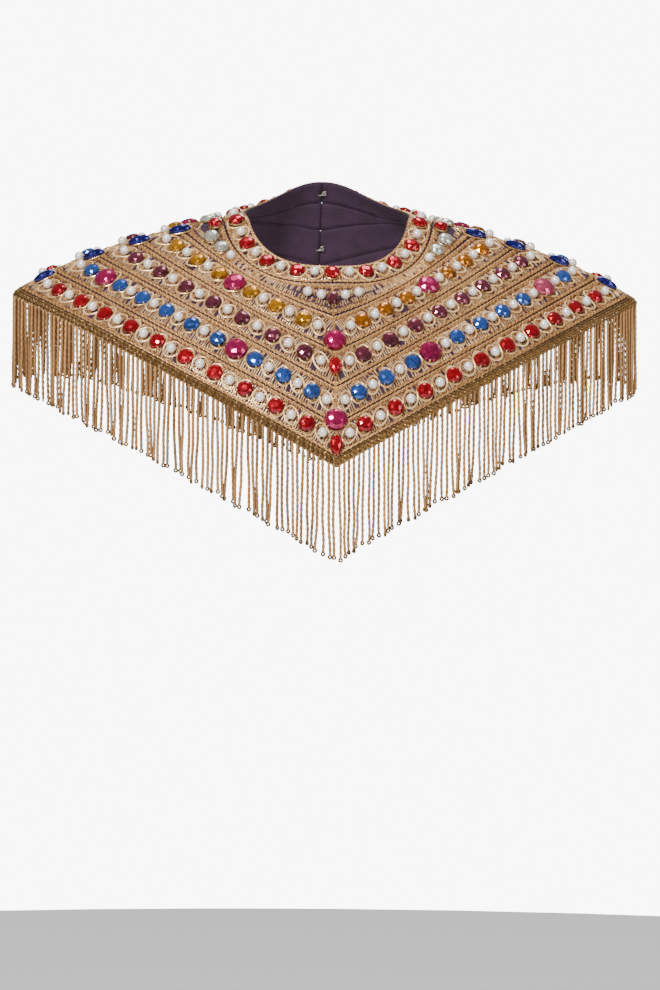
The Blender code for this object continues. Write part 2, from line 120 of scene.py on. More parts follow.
# Centre line of the front at each seam between bands, counted from the hem (0) to the neck
CentreStation = namedtuple("CentreStation", "band y z")
CENTRE_FRONT = [
    CentreStation(0, -132.0, -203.0),
    CentreStation(1, -125.0, -174.5),
    CentreStation(2, -116.0, -145.5),
    CentreStation(3, -104.5, -117.5),
    CentreStation(4, -89.5, -89.5),
    CentreStation(5, -71.0, -64.0),
    CentreStation(6, -48.0, -41.0),
]
# The back's rise is how steeply its seam leaves the centre line
BackStation = namedtuple("BackStation", "band y z rise")
CENTRE_BACK = [
    BackStation(0, 124.0, -122.5, 105),
    BackStation(1, 121.5, -92.0, 90),
    BackStation(2, 117.5, -62.0, 72),
    BackStation(3, 111.0, -32.0, 52),
    BackStation(4, 101.0, -3.0, 32),
    BackStation(5, 86.0, 24.0, 16),
    BackStation(6, 66.0, 47.0, 8),
]

# Shoulder mitre at the same seams; sag is how far a seam hangs below its chord half way,
# facing is how far the cloth before the mitre faces the front, in degrees
RidgeStation = namedtuple("RidgeStation", "band x y z sag facing")
RIDGE = [
    RidgeStation(0, 250.0, 0.0, -68.0, 2.0, 40),
    RidgeStation(1, 219.0, 0.0, -51.5, 0.0, 40),
    RidgeStation(2, 186.0, -2.0, -37.5, -1.5, 42),
    RidgeStation(3, 152.0, -4.0, -26.5, -5.0, 45),
    RidgeStation(4, 117.0, -6.0, -17.0, -8.0, 50),
    RidgeStation(5, 82.0, -7.0, -10.0, -10.0, 52),
    RidgeStation(6, 47.0, -8.0, -4.0, -11.0, 52),
]

# Rows of stones and pearls, from the centre line to the shoulder mitre
Row = namedtuple("Row", "band start end left right")
ROWS = {
    "front": [
        Row(1, 7.5, 8.5, "pspspspspspspspspspsp", "pspspspspspspspspspsp"),
        Row(2, 3.7, 3.0, "pspspsmspspspspsmsp", "pspspsmpspspspspmpsp"),
        Row(3, 8.0, 4.0, "pspspspspspspsp", "pspspspspspspspsp"),
        Row(4, 9.5, 3.0, "pspspsmspspsp", "pspspspmpspspsp"),
    ],
    "back": [
        Row(1, 12.0, 8.5, "spspspspspspspspspsp", "spspspspspspspspspsp"),
        Row(2, 10.0, 3.0, "spspspmpspspspspsp", "spspspmpspspspspsp"),
        Row(3, 10.0, 4.0, "pspspspspspspsp", "pspspspspspspsp"),
        Row(4, 10.0, 3.0, "pspspspsmsp", "pspspspsmsp"),
    ],
}
# Innermost band, half hidden by the neck band: places as shares of its length
InnerStone = namedtuple("InnerStone", "code share")
INNER_ROW = [
    InnerStone("p", 0.09),
    InnerStone("p", 0.19),
    InnerStone("p", 0.73),
    InnerStone("c", 0.815),
    InnerStone("c", 0.912),
]
NECK_ROW = "pspspspspspspspsp"
NECK_ROW_START = 9.0 * MM
NECK_ROW_END = 8.0 * MM

# Stones set across the centre front and along the shoulder mitres
SetStone = namedtuple("SetStone", "name band length width height form glass")
CENTRE_STONES = [
    SetStone("centre_drop_hem", 0.43, 17.0, 11.0, 4.6, "drop", "red"),
    SetStone("centre_large_low", 1.12, 18.0, 18.0, 6.0, "round", "magenta"),
    SetStone("centre_drop_mid", 2.55, 16.0, 11.0, 4.6, "drop", "red"),
    SetStone("centre_large_high", 3.29, 18.0, 18.0, 6.0, "round", "magenta"),
    SetStone("centre_drop_neck", 4.50, 15.0, 10.0, 4.6, "drop", "garnet"),
]
NECK_STONE = SetStone("centre_round_neck", 6, 13.3, 13.3, 4.6, "round", "red")
RIDGE_STONES = [
    SetStone("navette_1", 0.72, 20.0, 8.6, 4.6, "navette", "navy"),
    SetStone("navette_2", 1.93, 20.0, 8.6, 4.6, "navette", "navy"),
    SetStone("navette_3", 3.00, 20.0, 8.6, 4.6, "navette", "navy"),
    SetStone("navette_4", 3.93, 20.0, 8.6, 4.6, "navette", "navy"),
    SetStone("corner_round", 4.74, 12.0, 12.0, 4.6, "round", "red"),
]

# Glass of each row, and of the large stones by hand, side and band
ROW_GLASS = {1: "red", 2: "blue", 3: "garnet", 4: "amber", 5: "clear", "neck": "red"}
ORANGE_HAND = "right"
PALE_LARGE = ("front", "right", 2)


def clamp(value, low, high):
    return max(low, min(high, value))


def stray(chance, reach, count=None):
    """Random shifts or turns, up to the reach either way."""
    return chance.uniform(-reach, reach, count)


def draws_for(name):
    """A piece's own random draws, the same each run."""
    return np.random.default_rng([ord(letter) for letter in name])


def read_table(table, column, band):
    """Value of a table's column at any place between its stations, on a smooth curve."""
    low = clamp(math.floor(band), 0, len(table) - 2)
    value = [getattr(station, column) for station in table]
    share = band - low
    before = value[low - 1] if low > 0 else 2 * value[0] - value[1]
    after = value[low + 2] if low + 2 < len(table) else 2 * value[-1] - value[-2]
    start = (value[low + 1] - before) / 2
    end = (after - value[low]) / 2
    return hermite(value[low], value[low + 1], start, end, share)


def hermite(first, last, first_slope, last_slope, share):
    """Curve from the first value to the last that leaves and arrives with the given slopes."""
    square = share * share
    cube = square * share
    return (first * (2 * cube - 3 * square + 1) + first_slope * (cube - 2 * square + share)
            + last * (3 * square - 2 * cube) + last_slope * (cube - square))


def centre_point(table, band):
    return Vector((0, read_table(table, "y", band), read_table(table, "z", band))) * MM


def ridge_point(band):
    return Vector([read_table(RIDGE, axis, band) for axis in "xyz"]) * MM


def ridge_direction(band):
    """Unit vector along the shoulder mitre, from the neck outwards."""
    return (ridge_point(band - BAND_STEP) - ridge_point(band + BAND_STEP)).normalized()


def ridge_frame(band, facing):
    """Direction across the mitre towards the back, and the outward normal."""
    along = ridge_direction(band)
    back = Vector((0, 1, 0))
    back = (back - back.dot(along) * along).normalized()
    up = along.cross(back)
    up = up if up.z > 0 else -up
    normal = math.cos(facing) * up - math.sin(facing) * back
    across = math.cos(facing) * back + math.sin(facing) * up
    return across, normal


def front_facing(band):
    return math.radians(read_table(RIDGE, "facing", band))


def mean_facing(band):
    return (front_facing(band) + BACK_FACING) / 2


@lru_cache(maxsize=None)
def front_tangents(band):
    centre = centre_point(CENTRE_FRONT, band)
    ridge = ridge_point(band)
    sag = read_table(RIDGE, "sag", band) * MM
    climb = ridge.z - centre.z
    rise = centre_point(CENTRE_FRONT, band + BAND_STEP) - centre_point(CENTRE_FRONT, band - BAND_STEP)
    start_z = climb + 4 * sag
    end_z = climb - 4 * sag
    normal = ridge_frame(band, front_facing(band))[1]
    end_y = -(normal.x * ridge.x + normal.z * end_z) / normal.y
    start = Vector((ridge.x, start_z * rise.y / rise.z, start_z))
    return centre, ridge, start, Vector((ridge.x, end_y, end_z))


def front_surface(share, band):
    """Point on the cloth's inner face, share 0 at centre front and 1 at the shoulder mitre."""
    centre, ridge, start, end = front_tangents(band)
    return hermite(centre, ridge, start, end, share)


@lru_cache(maxsize=None)
def back_tangents(band):
    centre = centre_point(CENTRE_BACK, band)
    ridge = ridge_point(band)
    along = ridge_direction(band)
    lean = along.angle(front_tangents(band)[3])
    across = ridge_frame(band, BACK_FACING)[0]
    length = (ridge - centre).length
    end = (math.cos(lean) * along - math.sin(lean) * across) * length * SHOULDER_FULLNESS
    climb = centre_point(CENTRE_BACK, band + BAND_STEP) - centre_point(CENTRE_BACK, band - BAND_STEP)
    rise = read_table(CENTRE_BACK, "rise", band) * MM
    return centre, ridge, Vector((length, rise * climb.y / climb.z, rise)), end, length


def back_surface(share, band):
    """The same behind the mitre, share 0 at centre back."""
    centre, ridge, start, end, length = back_tangents(band)
    point = hermite(centre, ridge, start, end, share)
    away = (1 - share) * length
    point.z += SHOULDER_LIFT * away * math.exp(-away / SHOULDER_ROUND)
    return point


SURFACES = {"front": front_surface, "back": back_surface}


def normal_of(surface, share, band, outward):
    """Outward normal, the same on both sides of a centre line or a shoulder mitre."""
    if share > 1 - CENTRE_SHARE:
        return ridge_frame(band, mean_facing(band))[1]
    step = SHARE_STEP
    along = surface(min(1, share + step), band) - surface(max(0, share - step), band)
    across = surface(share, band + step) - surface(share, band - step)
    normal = along.cross(across) * outward
    if share < CENTRE_SHARE:
        normal.x = 0
    return normal.normalized()


def neck_size(share):
    """Plan of the neck band, share 0 at the neck edge and 1 at the band's outer edge."""
    return {key: NECK_IN[key] + share * (NECK_OUT[key] - NECK_IN[key]) for key in NECK_IN}


def neck_ellipse(angle, share):
    size = neck_size(share)
    return Vector((size["half_width"] * math.cos(angle),
                   size["centre_y"] + size["half_depth"] * math.sin(angle)))


def inside_neck(point, share):
    size = neck_size(share)
    across = point.x / size["half_width"]
    depth = (point.y - size["centre_y"]) / size["half_depth"]
    return across * across + depth * depth < 1


@lru_cache(maxsize=None)
def neck_limit(side, share):
    """Place across the bands where the cloth of a quarter meets the neck band."""
    low, high = NECK_BANDS
    clear = 1 + SEAM_GAP / NECK_BAND_WIDTH * 2
    for _ in range(NECK_HALVINGS):
        middle = (low + high) / 2
        if inside_neck(SURFACES[side](share, middle), clear):
            high = middle
        else:
            low = middle
    return low


def place_over(surface, plan):
    """Share and band of a surface over a plan point, by Newton's method."""
    share, band = SEARCH_SHARE, SEARCH_BAND
    for _ in range(SEARCH_TURNS):
        here = surface(share, band)
        miss = Vector((plan.x - here.x, plan.y - here.y))
        if miss.length < SEARCH_MISS:
            break
        along = (surface(share + SEARCH_STEP, band) - here) / SEARCH_STEP
        across = (surface(share, band + SEARCH_STEP) - here) / SEARCH_STEP
        area = along.x * across.y - along.y * across.x
        share += clamp((miss.x * across.y - miss.y * across.x) / area, -SHARE_MOVE, SHARE_MOVE)
        band += clamp((along.x * miss.y - along.y * miss.x) / area, -BAND_MOVE, BAND_MOVE)
        share = clamp(share, SHARE_LOW, SHARE_HIGH)
    return share, band


def surface_over(plan):
    """Side, share and band of the cloth over a plan point."""
    for side, surface in SURFACES.items():
        share, band = place_over(surface, plan)
        if share <= 1.0:
            break
    return side, clamp(share, 0.0, 1.0), band


def on_cloth(side, share, band):
    """Point and normal on the cloth's inner face."""
    outward = 1 if side == "front" else -1
    return SURFACES[side](share, band), normal_of(SURFACES[side], share, band, outward)


def quarter_patch(side, outer, inner_of):
    """Point and normal of a band: u from centre to mitre, v from outer to inner seam."""
    surface = SURFACES[side]
    trim = MITRE_TRIM / (surface(1, outer + 0.5) - surface(0, outer + 0.5)).length

    def place(u, v):
        share = trim + u * (1 - 2 * trim)
        return on_cloth(side, share, outer + v * (inner_of(share) - outer))
    return place


def neck_patch():
    """Point and normal of half the neck band: u from centre front to back, v outwards."""
    edge = CENTRE_TRIM / NECK_IN["half_width"]

    def place(u, v):
        angle = -math.pi / 2 + edge + (math.pi - 2 * edge) * u
        return on_cloth(*surface_over(neck_ellipse(angle, v)))
    return place


Spot = namedtuple("Spot", "point along across normal")


class Strip:
    """A strip of braid on the body, measured flat: metres along it from centre front or centre
    back, metres across it from its middle, and height over the cloth's inner face."""

    def __init__(self, place, columns, rows):
        self.columns = columns
        self.rows = rows
        spots = [[place(column / columns, row / rows) for row in range(rows + 1)]
                 for column in range(columns + 1)]
        self.points = np.array([[point for point, _ in line] for line in spots])
        self.normals = np.array([[normal for _, normal in line] for line in spots])
        self.slopes = np.gradient(self.points, axis=0)
        middle = self.points[:, rows // 2]
        steps = np.linalg.norm(np.diff(middle, axis=0), axis=1)
        self.run = np.concatenate([[0.0], np.cumsum(steps)])
        self.length = float(self.run[-1])
        widths = np.linalg.norm(np.diff(self.points, axis=1), axis=2).sum(axis=1)
        self.width = float(np.median(widths))
        lengths = np.linalg.norm(np.diff(self.points, axis=0), axis=2).sum(axis=0)
        self.cut = (float(widths.max()), float(lengths.max()))
        corner = self.points[:-1, :-1]
        opposite = self.points[1:, 1:]
        first = np.cross(self.points[1:, :-1] - corner, opposite - corner)
        second = np.cross(opposite - corner, self.points[:-1, 1:] - corner)
        self.area = float((np.linalg.norm(first, axis=2) + np.linalg.norm(second, axis=2)).sum() / 2)

    def read(self, grid, column, row):
        """Values of a grid at places between its corners."""
        low = np.clip(np.floor(column).astype(int), 0, self.columns - 1)
        left = np.clip(np.floor(row).astype(int), 0, self.rows - 1)
        down = (column - low)[:, None]
        over = (row - left)[:, None]
        first = grid[low, left] * (1 - over) + grid[low, left + 1] * over
        last = grid[low + 1, left] * (1 - over) + grid[low + 1, left + 1] * over
        return first * (1 - down) + last * down

    def at(self, along, across, height):
        """Points there, with unit directions along the strip, across it and out of it."""
        along, across, height = np.broadcast_arrays(*map(np.atleast_1d, (along, across, height)))
        column = np.interp(along, self.run, np.arange(self.columns + 1.0))
        row = np.clip(0.5 + across / self.width, 0, 1) * self.rows
        normal = unit(self.read(self.normals, column, row))
        slope = self.read(self.slopes, column, row)
        forward = unit(slope - normal * (slope * normal).sum(axis=1)[:, None])
        point = self.read(self.points, column, row) + normal * height[:, None]
        return Spot(point, forward, np.cross(normal, forward), normal)

    def share_run(self, share):
        return float(np.interp(share * self.columns, np.arange(self.columns + 1.0), self.run))


def unit(vectors):
    return vectors / np.maximum(np.linalg.norm(vectors, axis=-1, keepdims=True), 1e-12)


@lru_cache(maxsize=None)
def band_strip(side, band):
    outer = (CLOTH_EDGE if band == 1 else band - 1) + HALF_SEAM
    if band < BAND_COUNT:
        place = quarter_patch(side, outer, lambda share: band - HALF_SEAM)
        return Strip(place, *BAND_GRID)
    return Strip(quarter_patch(side, outer, lambda share: neck_limit(side, share)), *INNER_GRID)


@lru_cache(maxsize=None)
def neck_strip():
    return Strip(neck_patch(), *BAND_GRID)


@lru_cache(maxsize=None)
def header_strip(side):
    place = quarter_patch(side, HEADER_EDGE, lambda share: CLOTH_EDGE - HALF_SEAM)
    return Strip(place, *HEADER_GRID)


def strip_of(key):
    side, band, _ = key
    return neck_strip() if side == "neck" else band_strip(side, band)


def all_strips():
    """Keys (side, band, hand) of the strips of braid, with the CAD node of each."""
    for hand in HANDS:
        for side in ("front", "back"):
            for band in range(1, BAND_COUNT + 1):
                yield (side, band, hand), f"band_{band}_{side}_{hand}"
        yield ("neck", 0, hand), f"neck_band_{hand}"


@lru_cache(maxsize=None)
def row_stones(key):
    """Stones and pearls of a strip's row as (code, metres along the strip)."""
    side, band, hand = key
    strip = strip_of(key)
    if band == BAND_COUNT:
        return [(stone.code, strip.share_run(stone.share)) for stone in INNER_ROW]
    if side == "neck":
        codes, start, end = NECK_ROW, NECK_ROW_START, NECK_ROW_END
    else:
        row = ROWS[side][band - 1]
        codes, start, end = getattr(row, hand), row.start * MM, row.end * MM
    widths = [STONES[code].width for code in codes]
    gap = (strip.length - start - end - sum(widths)) / (len(codes) - 1)
    found = []
    run = start
    for code, width in zip(codes, widths):
        found.append((code, run + width / 2))
        run += width + gap
    return found


class Shape:
    """A closed low-poly shape as arrays, ready to be set down many times."""

    def __init__(self, bm):
        bmesh.ops.recalc_face_normals(bm, faces=bm.faces)
        bm.verts.index_update()
        self.verts = np.array([vert.co for vert in bm.verts])
        self.corners = np.array([vert.index for face in bm.faces for vert in face.verts])
        self.sizes = np.array([len(face.verts) for face in bm.faces])
        bm.free()


# Painted light on a cut stone's facets: where they are painted brightest from, and how their painted
# shades are made up
FACET_LIGHT = np.array([-0.25, -0.35, 0.90])
FACET_BASE = 0.42
FACET_SLOPE = 0.42
FACET_SCATTER = 0.30


class Work:
    """Collects shapes and cords into one piece, with a finish and a shade for each."""

    def __init__(self):
        self.verts, self.corners, self.sizes = [], [], []
        self.finishes, self.shades, self.smooth = [], [], []
        self.names = []
        self.count = 0

    def slot(self, finish):
        """Number of a finish among the piece's finishes."""
        if finish not in self.names:
            self.names.append(finish)
        return self.names.index(finish)

    def add(self, verts, corners, sizes, finish, shades, smooth):
        self.verts.append(verts)
        self.corners.append(corners + self.count)
        self.sizes.append(sizes)
        self.finishes.append(np.full(len(sizes), self.slot(finish)))
        self.shades.append(shades)
        self.smooth.append(np.full(len(sizes), smooth))
        self.count += len(verts)

    def stamp(self, shape, spots, sizes, finish, shades=0.5, turn=0.0, smooth=False):
        """Sets a shape down at every spot, turned on the cloth and scaled along, across and up."""
        count = len(spots.point)
        turn = np.broadcast_to(turn, (count,))[:, None]
        first = spots.along * np.cos(turn) + spots.across * np.sin(turn)
        second = spots.across * np.cos(turn) - spots.along * np.sin(turn)
        axes = np.stack([first, second, spots.normal], axis=1)
        scaled = shape.verts[None] * np.broadcast_to(sizes, (count, 3))[:, None]
        verts = spots.point[:, None] + scaled @ axes
        shifts = np.arange(count) * len(shape.verts)
        corners = (shape.corners[None] + shifts[:, None]).ravel()
        shades = np.repeat(np.broadcast_to(shades, (count,)), len(shape.sizes))
        self.add(verts.reshape(-1, 3), corners, np.tile(shape.sizes, count), finish, shades, smooth)

    def cord(self, spots, size, finish, shade=0.5, **form):
        """One closed cord along a line of spots, of that width and thickness."""
        self.cords(spots.point[None], spots.normal[None], *size, finish, shade, **form)

    def cords(self, points, normals, wide, thick, finish, shades=0.5, sides=6, twist=0.0, smooth=True):
        """Closed cords through points (cord, step, 3); twist is in radians a step."""
        count, steps = points.shape[:2]
        tangent = unit(np.gradient(points, axis=1))
        normal = unit(normals - tangent * (normals * tangent).sum(axis=2)[..., None])
        side = np.cross(normal, tangent)
        turned = (np.arange(steps) * twist)[None, :, None, None]
        angle = 2 * math.pi * np.arange(sides)[None, None, :, None] / sides
        spread = np.cos(angle) * np.broadcast_to(wide, (count, steps))[..., None, None] / 2
        lift = np.sin(angle) * np.broadcast_to(thick, (count, steps))[..., None, None] / 2
        over = spread * np.cos(turned) - lift * np.sin(turned)
        up = spread * np.sin(turned) + lift * np.cos(turned)
        rings = points[:, :, None] + side[:, :, None] * over + normal[:, :, None] * up
        start = (np.arange(steps - 1) * sides)[:, None]
        low = np.arange(sides)[None]
        high = (np.arange(sides)[None] + 1) % sides
        wall = np.stack([start + low, start + high, start + high + sides, start + low + sides], axis=2)
        ends = np.concatenate([np.arange(sides)[::-1], np.arange(sides) + (steps - 1) * sides])
        one = np.concatenate([wall.ravel(), ends])
        sizes = np.concatenate([np.full((steps - 1) * sides, 4), [sides, sides]])
        shifts = np.arange(count) * steps * sides
        corners = (one[None] + shifts[:, None]).ravel()
        shades = np.repeat(np.broadcast_to(shades, (count,)), len(sizes))
        self.add(rings.reshape(-1, 3), corners, np.tile(sizes, count), finish, shades, smooth)

    def make(self, name, hand, slot, parent=None):
        """The piece as an object. A left one is the right one mirrored, and its faces reversed."""
        verts = np.concatenate(self.verts)
        corners = np.concatenate(self.corners)
        sizes = np.concatenate(self.sizes)
        per_face = [np.concatenate(values) for values in (self.finishes, self.shades, self.smooth)]
        if hand == "left":
            verts = verts * np.array([-1.0, 1.0, 1.0])
            corners, sizes = corners[::-1], sizes[::-1]
            per_face = [values[::-1] for values in per_face]
        mesh = bpy.data.meshes.new(name)
        mesh.vertices.add(len(verts))
        mesh.vertices.foreach_set("co", verts.ravel())
        mesh.loops.add(len(corners))
        mesh.loops.foreach_set("vertex_index", np.ascontiguousarray(corners, dtype=np.int32))
        mesh.polygons.add(len(sizes))
        starts = np.concatenate([[0], np.cumsum(sizes)[:-1]]).astype(np.int32)
        mesh.polygons.foreach_set("loop_start", starts)
        for finish in self.names:
            mesh.materials.append(FINISHES[finish]())
        mesh.polygons.foreach_set("material_index", per_face[0].astype(np.int32))
        mesh.polygons.foreach_set("use_smooth", per_face[2].astype(bool))
        mesh.update(calc_edges=True)
        shade = mesh.attributes.new("shade", "FLOAT", "FACE")
        shade.data.foreach_set("value", self.shine(mesh, per_face).astype(np.float32))
        return add_piece(name, mesh, parent)

    def shine(self, mesh, per_face):
        """Shade of each face: a cut stone's facets are painted brighter the more they face up, painted
        light from FACET_LIGHT.
        """
        finish, shade = per_face[:2]
        facets = np.zeros(len(finish) * 3)
        mesh.polygons.foreach_get("normal", facets)
        up = facets.reshape(-1, 3) @ FACET_LIGHT
        glass = np.isin(finish, [index for index, name in enumerate(self.names)
                                 if name.startswith("glass")])
        scatter = np.random.default_rng(len(finish)).uniform(-1, 1, len(finish))
        # Painted light and painted shade on glass: facing towards FACET_LIGHT, plus random scatter and the
        # stone's own shade
        lit = np.clip(FACET_BASE + FACET_SLOPE * up + FACET_SCATTER * scatter + (shade - 0.5), 0, 1)
        return np.where(glass, lit, shade)


def put(name, data):
    made = bpy.data.objects.new(name, data)
    bpy.context.scene.collection.objects.link(made)
    return made


def add_piece(name, mesh, parent=None):
    made = put(name, mesh)
    if parent:
        made.parent = parent
    else:
        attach(made, BODY)
    return made


# Small shapes that are set down again and again

STITCH_TOP = (0.62, 0.42, 1)


@lru_cache(maxsize=None)
def stitch_shape():
    """A flat stitch, 1 long and 1 wide, with ends and sides drawn in at the top."""
    bm = bmesh.new()
    bmesh.ops.create_cube(bm, size=1)
    top = [vert for vert in bm.verts if vert.co.z > 0]
    bmesh.ops.scale(bm, vec=STITCH_TOP, verts=top)
    return Shape(bm)


@lru_cache(maxsize=None)
def pearl_shape():
    bm = bmesh.new()
    bmesh.ops.create_icosphere(bm, subdivisions=3, radius=1)
    return Shape(bm)


# Stones' outlines: how pointed a navette and a drop are, and how a drop widens to its round end
NAVETTE_POINT = 1.45
DROP_POINT = 1.2
DROP_TAPER = 0.22
DROP_FULL = 1.03


def outline_point(form, angle, reach=1.0):
    """Point of a stone's outline, 1 from the middle to its ends and sides."""
    along, across = math.cos(angle), math.sin(angle)
    if form == "navette":
        across = math.copysign(abs(across) ** NAVETTE_POINT, across)
    if form == "drop":
        across = math.copysign(abs(across) ** DROP_POINT, across) * (1 + DROP_TAPER * along)
        across /= DROP_FULL
    return Vector((along * reach, across * reach, 0))


# Rings of a cut stone: shares of its reach and height, and whether it turns half a step
GEM_RINGS = ((0.96, 0.0, 0), (1.0, 0.30, 0), (0.90, 0.62, 1), (0.62, 0.90, 0))
GEM_TABLE = 0.32
# Rings of the gilt cup round it: shares of the stone's reach and height
CUP_RINGS = ((1.0, 0.0), (1.08, 0.0), (1.06, 0.14), (1.01, 0.18))
# A claw, in the same shares: its reach and bend, its size, how it narrows, and its height
CLAW_REACH = 1.04
CLAW_BEND = 0.15
CLAW_THICK = 0.10
CLAW_WIDE = 0.15
CLAW_THINNING = 0.3
CLAW_NARROWING = 0.35
CLAW_FOOT = 0.02
CLAW_HEIGHT = 0.58
# Loop at a strand's foot, 1 from its middle to the middle of its wire
LOOP_WIRE = 0.72
LOOP_WIRE_SIDES = 5
LOOP_STEPS = 9


@lru_cache(maxsize=None)
def gem_shape(form, sides):
    """A faceted dome: rings of facets, each turned half a step, under a small flat table."""
    bm = bmesh.new()
    for reach, height, shift in GEM_RINGS:
        for index in range(sides):
            angle = 2 * math.pi * (index + shift / 2) / sides
            bm.verts.new(outline_point(form, angle, reach) + Vector((0, 0, height)))
    for index in range(sides // 2):
        angle = 4 * math.pi * (index + 0.25) / sides
        bm.verts.new(outline_point(form, angle, GEM_TABLE) + Vector((0, 0, 1)))
    hull = bmesh.ops.convex_hull(bm, input=bm.verts)
    loose = [item for item in hull["geom_unused"] + hull["geom_interior"]
             if isinstance(item, bmesh.types.BMVert)]
    bmesh.ops.delete(bm, geom=loose, context="VERTS")
    return Shape(bm)


@lru_cache(maxsize=None)
def cup_shape(form, steps):
    """The gilt cup round a stone: an edge wire that hugs the stone's outline."""
    bm = bmesh.new()
    rings = []
    for index in range(steps):
        outline = outline_point(form, 2 * math.pi * index / steps)
        rings.append([bm.verts.new(outline * reach + Vector((0, 0, height)))
                      for reach, height in CUP_RINGS])
    for ring, after in zip(rings, rings[1:] + rings[:1]):
        for corner in range(len(CUP_RINGS)):
            follow = (corner + 1) % len(CUP_RINGS)
            bm.faces.new((ring[corner], ring[follow], after[follow], after[corner]))
    return Shape(bm)


@lru_cache(maxsize=None)
def claw_shape():
    """One claw, which bends in over the stone's edge and narrows to its tip."""
    bm = bmesh.new()
    bmesh.ops.create_cube(bm, size=1)
    uprights = [edge for edge in bm.edges if abs(edge.verts[0].co.z - edge.verts[1].co.z) > 0.5]
    bmesh.ops.subdivide_edges(bm, edges=uprights, cuts=2, use_grid_fill=True)
    for vert in bm.verts:
        level = vert.co.z + 0.5
        reach = CLAW_REACH - CLAW_BEND * level * level
        vert.co = Vector((reach + vert.co.x * CLAW_THICK * (1 - CLAW_THINNING * level),
                          vert.co.y * CLAW_WIDE * (1 - CLAW_NARROWING * level),
                          CLAW_FOOT + level * CLAW_HEIGHT))
    return Shape(bm)


@lru_cache(maxsize=None)
def loop_shape():
    """The small ring that a fringe strand turns round at its foot."""
    bm = bmesh.new()
    ring = bmesh.ops.create_circle(bm, segments=LOOP_WIRE_SIDES, radius=LOOP_WIRE)["verts"]
    bmesh.ops.rotate(bm, matrix=Matrix.Rotation(math.pi / 2, 3, "X"), verts=ring)
    bmesh.ops.translate(bm, vec=(1, 0, 0), verts=ring)
    bmesh.ops.spin(bm, geom=bm.verts[:] + bm.edges[:], axis=(0, 0, 1), cent=(0, 0, 0),
                   angle=2 * math.pi, steps=LOOP_STEPS, use_merge=True)
    return Shape(bm)


# Cloth

def make_cloth(key, node):
    """The backing of one strip: a thin closed shell standing on the solid's inner face."""
    strip = strip_of(key)
    bm = bmesh.new()
    bmesh.ops.create_grid(bm, x_segments=strip.columns, y_segments=strip.rows, size=0.5)
    raised = bmesh.ops.extrude_face_region(bm, geom=bm.faces[:])["geom"]
    bmesh.ops.translate(bm, vec=(0, 0, 1),
                        verts=[item for item in raised if isinstance(item, bmesh.types.BMVert)])
    uv = bm.loops.layers.uv.new("cloth")
    for face in bm.faces:
        for loop in face.loops:
            spot = loop.vert.co
            loop[uv].uv = ((spot.x + 0.5) * strip.length, (spot.y + 0.5) * strip.width)
    flat = np.array([vert.co for vert in bm.verts])
    column = (flat[:, 0] + 0.5) * strip.columns
    row = (flat[:, 1] + 0.5) * strip.rows
    lift = flat[:, 2:] * BACKING
    points = strip.read(strip.points, column, row) + lift * unit(strip.read(strip.normals, column, row))
    mirror = -1 if key[2] == "left" else 1
    for vert, point in zip(bm.verts, points):
        vert.co = (point[0] * mirror, point[1], point[2])
    bmesh.ops.recalc_face_normals(bm, faces=bm.faces)
    for face in bm.faces:
        face.smooth = True
    mesh = bpy.data.meshes.new(f"cloth_{node}")
    bm.to_mesh(mesh)
    bm.free()
    mesh.materials.append(FINISHES["backing"]())
    cloth = add_piece(f"cloth_{node}", mesh)
    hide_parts(node)
    return cloth


# Braiding

# Width and thickness of cords, and length, width and thickness of stitches
RUNG = (1.10 * MM, 0.9 * MM)
ZIGZAG = (1.15 * MM, 1.2 * MM)
SEAM_THREAD = (1.1 * MM, 1.5 * MM)
STITCH = (2.6 * MM, 1.25 * MM, 1.1 * MM)
MITRE_STITCH = (3.0 * MM, 1.5 * MM, 1.2 * MM)
FRILL = (2.3 * MM, 1.15 * MM, 1.0 * MM)

# Ladder: its bare middle, the share of rungs left out, and how rungs stray, lean, turn and rise
LADDER_MIDDLE = 0.5 * MM
RUNG_MISSING = 0.13
RUNG_STRAY = 0.3 * MM
RUNG_LEAN = 0.12
RUNG_TURN = 0.08
RUNG_LIFT = 0.35

# Plaited row: its slant, and how its stitches stray along and across, turn and rise
PLAIT_SLANT = math.radians(40)
PLAIT_STRAY = 0.15 * MM
PLAIT_SWAY = 0.12 * MM
PLAIT_TURN = 0.12
PLAIT_LIFT = 0.4

# Zigzag cords: ends, reach, period, rise where they cross, stray, and shade of each from the middle
ZIGZAG_END = 0.4 * MM
ZIGZAG_REACH = 0.95 * MM
ZIGZAG_PERIOD = 4.2 * MM
ZIGZAG_LIFT = 0.15 * MM
ZIGZAG_STRAY = 0.12 * MM
ZIGZAG_SHADE = 0.25

# Dark threads: their steps along seams and ends, and how far the end ones lie in
SEAM_STEP = 4 * MM
END_STEP = 3 * MM
END_THREAD_INSET = 0.2 * MM

# Stitches over the front mitre
MITRE_START = 1.0 * MM
MITRE_PITCH = 1.9 * MM
MITRE_INSET = 0.1 * MM
MITRE_TURN = 0.35
MITRE_SHADES = (0.2, 0.9)

# Couched cords: room at the row's ends and the strip's edges, and the shape of their eyes
COUCHING_END = 0.8 * MM
COUCHING_EDGE = 1.3 * MM
EYE_STEPS = 14
EYE_FULLNESS = 0.62
CROSSING_POWER = 6
CROSSING_LIFT = 0.35 * MM
CORD_LIFT = 0.62
CORD_SHADE = 0.2

# Ring of stitches round a pearl
FRILL_STITCHES = 12
FRILL_GAP = 0.9 * MM
FRILL_TURN = 0.5
FRILL_LIFT = 0.6
FRILL_SHADES = (0.1, 0.9)

# From a strip's edge to its zigzag cords, to its plaited row if it has one, and to its ladder
Layout = namedtuple("Layout", "zigzag plait ladder")
WIDE_LAYOUT = Layout(1.55 * MM, 3.0 * MM, 3.6 * MM)
NARROW_LAYOUT = Layout(1.45 * MM, None, 2.4 * MM)


